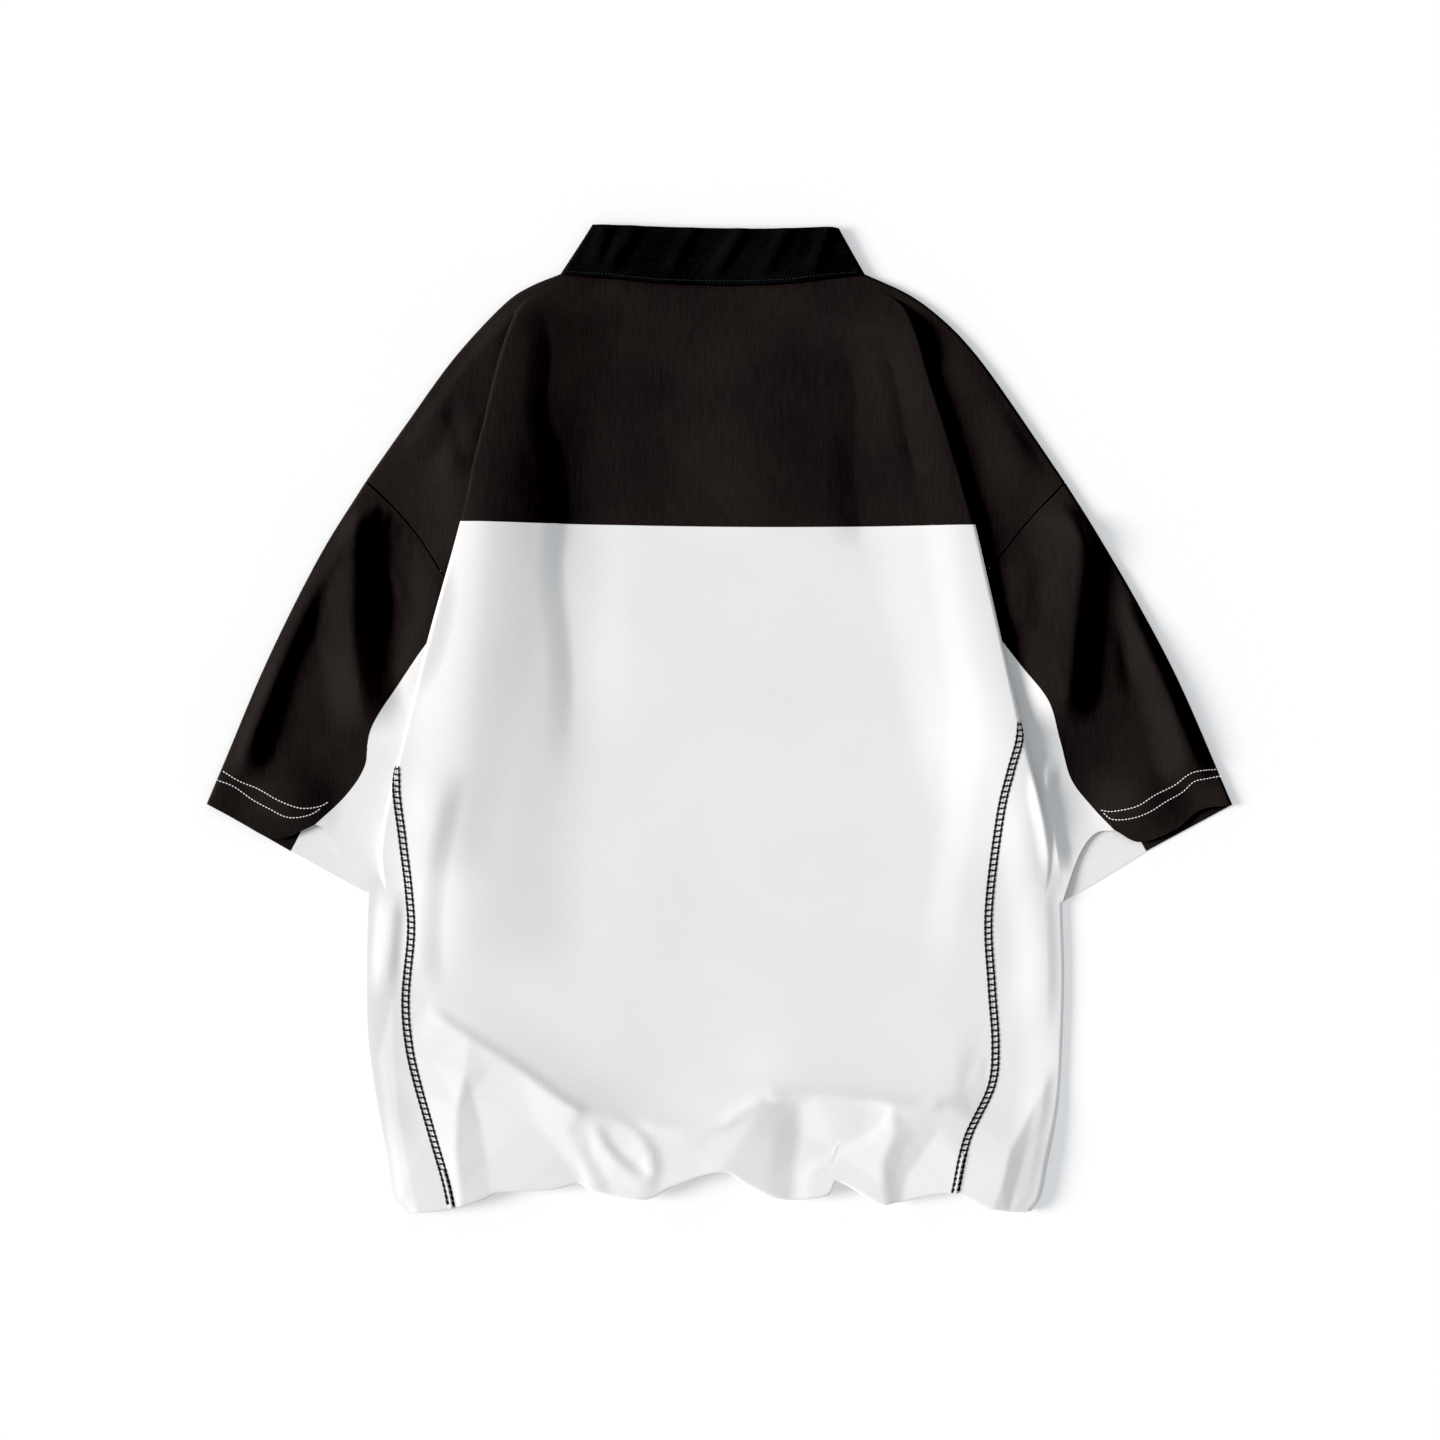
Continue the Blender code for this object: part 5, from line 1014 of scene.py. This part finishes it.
collarBand = {
    "wall": 2.0,
    "seamGap": -0.7,      # the band's lower edge covers the yoke's
    "shelfY": 326.0,      # the band takes its height from the yoke up to here
    "rise": 1.5,
    "creaseHeight": 1.5,
    "creaseWidth": (7.0, 11.0),
    "creases": [[(-84.0, 372.0), (-93.0, 341.0)], [(-60.0, 372.0), (-84.0, 337.0)], [(-18.0, 370.0), (-38.0, 332.0)],
                [(20.0, 370.0), (-6.0, 330.0)], [(53.0, 370.0), (31.0, 331.0)], [(84.0, 370.0), (69.0, 333.0)]],
}



def collarCrease(x, y):
    # soft diagonal creases of the standing band
    total = np.zeros_like(x)
    for k, line in enumerate(collarBand["creases"]):
        distance, side, along, run = lineMeasure(x, y, np.array(line))
        share = np.clip(distance / np.where(side > 0, *collarBand["creaseWidth"]), 0, 1)
        total += collarBand["creaseHeight"] * (0.7 + 0.3 * (k % 2)) * np.cos(share * math.pi / 2) ** 2
    return total


def collarRound(row):
    run = runOf(row)
    radius = cloth["edgeRadius"]
    inside = np.clip(np.minimum(run, run[-1] - run), 0, radius)
    return radius, np.sqrt(radius ** 2 - (radius - inside) ** 2)


def collar():
    mid = collarBand["wall"] / 2
    back, front = [], []
    lines = {}
    for name, key in (("neckBack", "Back"), ("collarTopBack", "Back"), ("neckFront", "Front"), ("collarTopFront", "Front")):
        columns = layout["collar" + key + "Columns"] * fine
        lines[name] = bothEdges(spaced(outline[name], columns))
    for height in np.linspace(0, 1, layout["collarRows"] * fine + 1):
        row = (1 - height) * lines["neckBack"] + height * lines["collarTopBack"]
        radius, half = collarRound(row)
        flat = upperHeight(row[:, 0], np.minimum(row[:, 1], collarBand["shelfY"])) + collarBand["rise"] * height
        z = np.where(half < radius, mid + radius + half, np.maximum(flat, mid + 2 * cloth["edgeRadius"]))
        z += collarCrease(row[:, 0], row[:, 1]) * ease(2.5 * height) * ease((half / radius - 0.6) / 0.4)
        back.append(np.column_stack([row, z]))
        low = (1 - height) * lines["neckFront"] + height * lines["collarTopFront"]
        radius, half = collarRound(low)
        front.append(np.column_stack([low, mid + radius - half]))
    upper, lower = np.stack(back), np.stack(front)
    lower[:, 0] = upper[:, 0]
    lower[:, -1] = upper[:, -1]
    ring = pulledIn(np.hstack([upper, lower[:, ::-1][:, 1:]]), firstRow=collarBand["seamGap"])
    ring[:, -1] = ring[:, 0]
    return ring


print("laying the panels")
yokeGrid = backYoke()
panelGrids = backPanel()
sleeveGrids = {side: sleeve(side) for side in sides}
sideGrids = {side: sidePiece(side) for side in sides}
collarGrid = collar()
pieces = {
    "backYoke": clothPiece("backYoke", [yokeGrid], blackJersey, "back_yoke"),
    "backPanel": clothPiece("backPanel", panelGrids, whiteJersey, "back_panel"),
    "frontYoke": clothPiece("frontYoke", [frontYoke()], blackJersey, "front_yoke"),
    "frontPanel": clothPiece("frontPanel", frontPanel(), whiteJersey, "front_panel"),
    "collar": clothPiece("collarBand", [collarGrid], collarJersey, "collar", collarBand["wall"]),
}
for side in sides:
    pieces["sleeve" + side] = clothPiece("sleeve_" + side + "_cloth", [sleeveGrids[side]], blackJersey, "sleeve_" + side)
    pieces["side" + side] = clothPiece("side_" + side + "_cloth", sideGrids[side], whiteJersey, "side_" + side)

stitching = {  # sizes are length, width and height
    "coverWidth": 6.6,
    "coverPitch": 4.3,
    "coverEdge": (5.0, 2.0, 1.1),
    "coverRung": (5.2, 1.5, 1.0),
    "coverSlant": 0.16,
    "coverTop": 3.0,         # the band starts this far above the place where the seam comes out
    "twinPitch": 2.5,
    "twinStitch": (1.95, 0.85, 0.6),
    "collarPitch": 2.6,
    "collarStitch": (2.3, 0.7, 0.45),
    "collarUp": 2.2,
    "sunk": 0.25,            # share of a stitch's thickness that lies in the cloth
}


def addStitch(bm, place, along, normal, size):
    # one stitch: a small rounded shape laid along the thread
    along = Vector(along).normalized()
    normal = Vector(normal)
    across = normal.cross(along).normalized()
    up = along.cross(across)
    frameOf = Matrix((along, across, up)).transposed().to_4x4()
    frameOf.translation = Vector(place) * mm
    scale = Matrix.Diagonal((*[half * mm / 2 for half in size], 1.0))
    bmesh.ops.create_uvsphere(bm, u_segments=6, v_segments=4, radius=1.0, matrix=frameOf @ scale @ quarterTurn)


quarterTurn = Matrix.Rotation(math.pi / 2, 4, "Y")


def sewnPiece(name, bm, finish):
    mesh = bpy.data.meshes.new(name)
    bm.to_mesh(mesh)
    bm.free()
    mesh.shade_smooth()
    mesh.materials.append(finish)
    piece = bpy.data.objects.new(name, mesh)
    bpy.context.scene.collection.objects.link(piece)
    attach(piece, "root")
    print("sewn", name, len(mesh.polygons), "faces")
    return piece


def paced(points, pitch):
    # centres and directions every pitch along a line of points
    run = runOf(points)
    at = np.arange(pitch / 2, run[-1], pitch)
    places = np.stack([np.interp(at, run, points[:, k]) for k in range(3)], axis=1)
    ahead = np.stack([np.interp(at + 0.5, run, points[:, k]) for k in range(3)], axis=1)
    behind = np.stack([np.interp(at - 0.5, run, points[:, k]) for k in range(3)], axis=1)
    return at, places, ahead - behind


def coverStitch(side):
    fold = foldsOf[side]
    half = stitching["coverWidth"] / 2 - stitching["coverEdge"][1] / 2
    top = longFold["climb"][side][1] + stitching["coverTop"]
    bottom = hemY(coverSeam[side][-1][0], hemBackLine) + 0.5
    y = np.arange(top, bottom, -0.5)
    seam = np.array([float(fold.seam(np.array([value]))[0]) for value in y])
    centre = fold.point(seam, y)
    acrossAt = fold.point(seam + 0.4, y) - fold.point(seam - 0.4, y)
    acrossAt /= np.linalg.norm(acrossAt, axis=1, keepdims=True)
    down = np.gradient(centre, axis=0)
    normal = np.cross(acrossAt, -down)
    normal *= np.sign(normal[:, 2:3] + 0.000001)
    normal /= np.linalg.norm(normal, axis=1, keepdims=True)
    bm = bmesh.new()
    run = runOf(centre)
    for offset in (-half, half):
        edge = fold.point(seam + offset, y)
        at, places, along = paced(edge, stitching["coverPitch"])
        up = np.stack([np.interp(at, runOf(edge), normal[:, k]) for k in range(3)], axis=1)
        rise = cloth["wall"] / 2 + stitching["coverEdge"][2] * (0.5 - stitching["sunk"])
        for place, direction, lift in zip(places, along, up):
            addStitch(bm, place + lift * rise, direction, lift, stitching["coverEdge"])
    rise = cloth["wall"] / 2 + stitching["coverRung"][2] * (0.5 - stitching["sunk"])
    at, places, along = paced(centre, stitching["coverPitch"])
    for k, (place, direction, run0) in enumerate(zip(places, along, at)):
        up = np.array([np.interp(run0, run, normal[:, j]) for j in range(3)])
        across = np.array([np.interp(run0, run, acrossAt[:, j]) for j in range(3)])
        slant = stitching["coverSlant"] * (1 if k % 2 else -1)
        addStitch(bm, place + up * rise, across + slant * direction / np.linalg.norm(direction), up,
                  stitching["coverRung"])
    return sewnPiece("coverStitch_" + side, bm, blackThread)


def onSurface(plan, height, rise):
    # points of a plan line laid on the cloth, moved out along its normal
    x, y = plan[:, 0], plan[:, 1]
    step = 0.3
    slopeX = (height(x + step, y) - height(x - step, y)) / (2 * step)
    slopeY = (height(x, y + step) - height(x, y - step)) / (2 * step)
    normal = np.stack([-slopeX, -slopeY, np.ones_like(x)], axis=1)
    normal /= np.linalg.norm(normal, axis=1, keepdims=True)
    return np.column_stack([x, y, height(x, y)]) + normal * rise, normal


twinRows = {
    "left": [[(-372.0, -38.3), (-359.3, -45.8), (-345.0, -51.8), (-331.5, -59.3), (-318.8, -64.5), (-309.8, -66.0),
              (-299.3, -64.5), (-293.5, -61.5)],
             [(-376.5, -45.0), (-364.5, -49.5), (-350.3, -59.3), (-336.0, -66.8), (-325.5, -72.0), (-316.5, -72.8),
              (-306.0, -70.5), (-299.5, -66.6)]],
    "right": [[(285.0, -67.5), (294.0, -68.3), (311.3, -64.5), (324.8, -56.3), (339.8, -48.8), (353.3, -39.0),
               (372.2, -37.0)],
              [(287.0, -69.5), (294.0, -74.3), (307.5, -73.5), (320.3, -69.0), (333.8, -60.8), (345.8, -54.0),
               (354.8, -45.8), (366.0, -43.5), (375.4, -42.0)]],
}


def twinStitch(side):
    bm = bmesh.new()
    size = stitching["twinStitch"]
    for row in twinRows[side]:
        rise = cloth["wall"] / 2 + size[2] * (0.5 - stitching["sunk"])
        line, normal = onSurface(smoothLine(row), upperHeight, rise)
        at, places, along = paced(line, stitching["twinPitch"])
        up = np.stack([np.interp(at, runOf(line), normal[:, k]) for k in range(3)], axis=1)
        for place, direction, lift in zip(places, along, up):
            addStitch(bm, place, direction, lift, size)
    return sewnPiece("twinStitch_" + side, bm, whiteThread)


def collarStitch():
    bm = bmesh.new()
    size = stitching["collarStitch"]
    columns = slice(2 * fine, (layout["collarBackColumns"] + 2) * fine + 1)
    share = stitching["collarUp"] / 41.0 * layout["collarRows"] * fine
    low, step = int(share), share - int(share)
    line = collarGrid[low, columns] * (1 - step) + collarGrid[low + 1, columns] * step
    line = line + np.array([0, 0, collarBand["wall"] / 2 + size[2] * (0.5 - stitching["sunk"])])
    for place, direction in zip(*paced(line, stitching["collarPitch"])[1:]):
        addStitch(bm, place, direction, (0, 0, 1), size)
    return sewnPiece("collarStitch", bm, blackThread)


thread = {"black": (0.006, 0.0055, 0.0055), "white": (0.93, 0.93, 0.92), "roughness": 0.6, "twistScale": 1400.0}


def threadFinish(name, colour):
    material = bpy.data.materials.new(name)
    material.use_nodes = True
    tree = material.node_tree
    shader = tree.nodes["Principled BSDF"]
    shader.inputs["Roughness"].default_value = thread["roughness"]
    shader.inputs["Sheen Weight"].default_value = 0.15
    shader.inputs["Specular IOR Level"].default_value = 0.25
    coords = newNode(tree, "ShaderNodeTexCoord", (-900, 0))
    twist = newNode(tree, "ShaderNodeTexNoise", (-700, 0), Scale=thread["twistScale"], Detail=2.0)
    tree.links.new(coords.outputs["Object"], twist.inputs["Vector"])
    ramp = newNode(tree, "ShaderNodeValToRGB", (-450, 100))
    ramp.color_ramp.elements[0].color = (*[value * 0.85 for value in colour], 1)
    ramp.color_ramp.elements[1].color = (*[min(value * 1.15, 0.95) for value in colour], 1)
    tree.links.new(twist.outputs["Fac"], ramp.inputs["Fac"])
    tree.links.new(ramp.outputs["Color"], shader.inputs["Base Color"])
    bump = newNode(tree, "ShaderNodeBump", (-250, -200), Strength=0.3, Distance=0.0002)
    tree.links.new(twist.outputs["Fac"], bump.inputs["Height"])
    tree.links.new(bump.outputs["Normal"], shader.inputs["Normal"])
    return material


blackThread = threadFinish("blackThread", thread["black"])
whiteThread = threadFinish("whiteThread", thread["white"])
print("sewing the seams")
sewn = {"collar": collarStitch()}
for side in sides:
    sewn["cover" + side] = coverStitch(side)
    sewn["twin" + side] = twinStitch(side)

studio = {
    "floor": 3.0, "floorColour": (0.66, 0.66, 0.66), "floorGlow": 0.32,
    "cameraHeight": 3.0, "frameWidth": 1.08,
    "keyHeight": 27.0, "keyFrom": 182.0, "keyAngle": 24.0, "keyPower": 3.7, "keyColour": (1.0, 0.955, 0.92),
    "sky": (0.90, 0.95, 1.0), "skyStrength": 0.54,
    "blackLevel": (0.0145, 0.0138, 0.0128),
}


def addFloor():
    bm = bmesh.new()
    bmesh.ops.create_grid(bm, x_segments=1, y_segments=1, size=studio["floor"])
    mesh = bpy.data.meshes.new("table")
    bm.to_mesh(mesh)
    bm.free()
    floor = bpy.data.objects.new("table", mesh)
    bpy.context.scene.collection.objects.link(floor)
    finish = bpy.data.materials.new("tableTop")
    finish.use_nodes = True
    shader = finish.node_tree.nodes["Principled BSDF"]
    shader.inputs["Base Color"].default_value = (*studio["floorColour"], 1)
    shader.inputs["Roughness"].default_value = 0.9
    shader.inputs["Emission Color"].default_value = (1, 1, 1, 1)   # a little light of its own keeps its shadows pale
    shader.inputs["Emission Strength"].default_value = studio["floorGlow"]
    mesh.materials.append(finish)


def addKey():
    data = bpy.data.lights.new("key", "SUN")
    data.energy = studio["keyPower"]
    data.color = studio["keyColour"]
    data.angle = math.radians(studio["keyAngle"])
    height, turn = math.radians(studio["keyHeight"]), math.radians(studio["keyFrom"])
    place = Vector((math.cos(height) * math.cos(turn), math.cos(height) * math.sin(turn), math.sin(height)))
    lamp = bpy.data.objects.new("key", data)
    lamp.location = place
    lamp.rotation_euler = (-place).to_track_quat("-Z", "Y").to_euler()
    bpy.context.scene.collection.objects.link(lamp)


addFloor()
addKey()
world = bpy.data.worlds.new("room")
world.use_nodes = True
world.node_tree.nodes["Background"].inputs["Color"].default_value = (*studio["sky"], 1)
world.node_tree.nodes["Background"].inputs["Strength"].default_value = studio["skyStrength"]
bpy.context.scene.world = world
view = bpy.context.scene.view_settings
view.view_transform = "Standard"
view.use_curve_mapping = True
view.curve_mapping.black_level = studio["blackLevel"]
view.curve_mapping.update()

camera = bpy.data.cameras.new("camera")
camera.sensor_width = 36.0
camera.lens = 36.0 * studio["cameraHeight"] / studio["frameWidth"]
lookDown = bpy.data.objects.new("camera", camera)
lookDown.location = (0, 0, studio["cameraHeight"])
bpy.context.scene.collection.objects.link(lookDown)
bpy.context.scene.camera = lookDown
print("table, light and camera set")
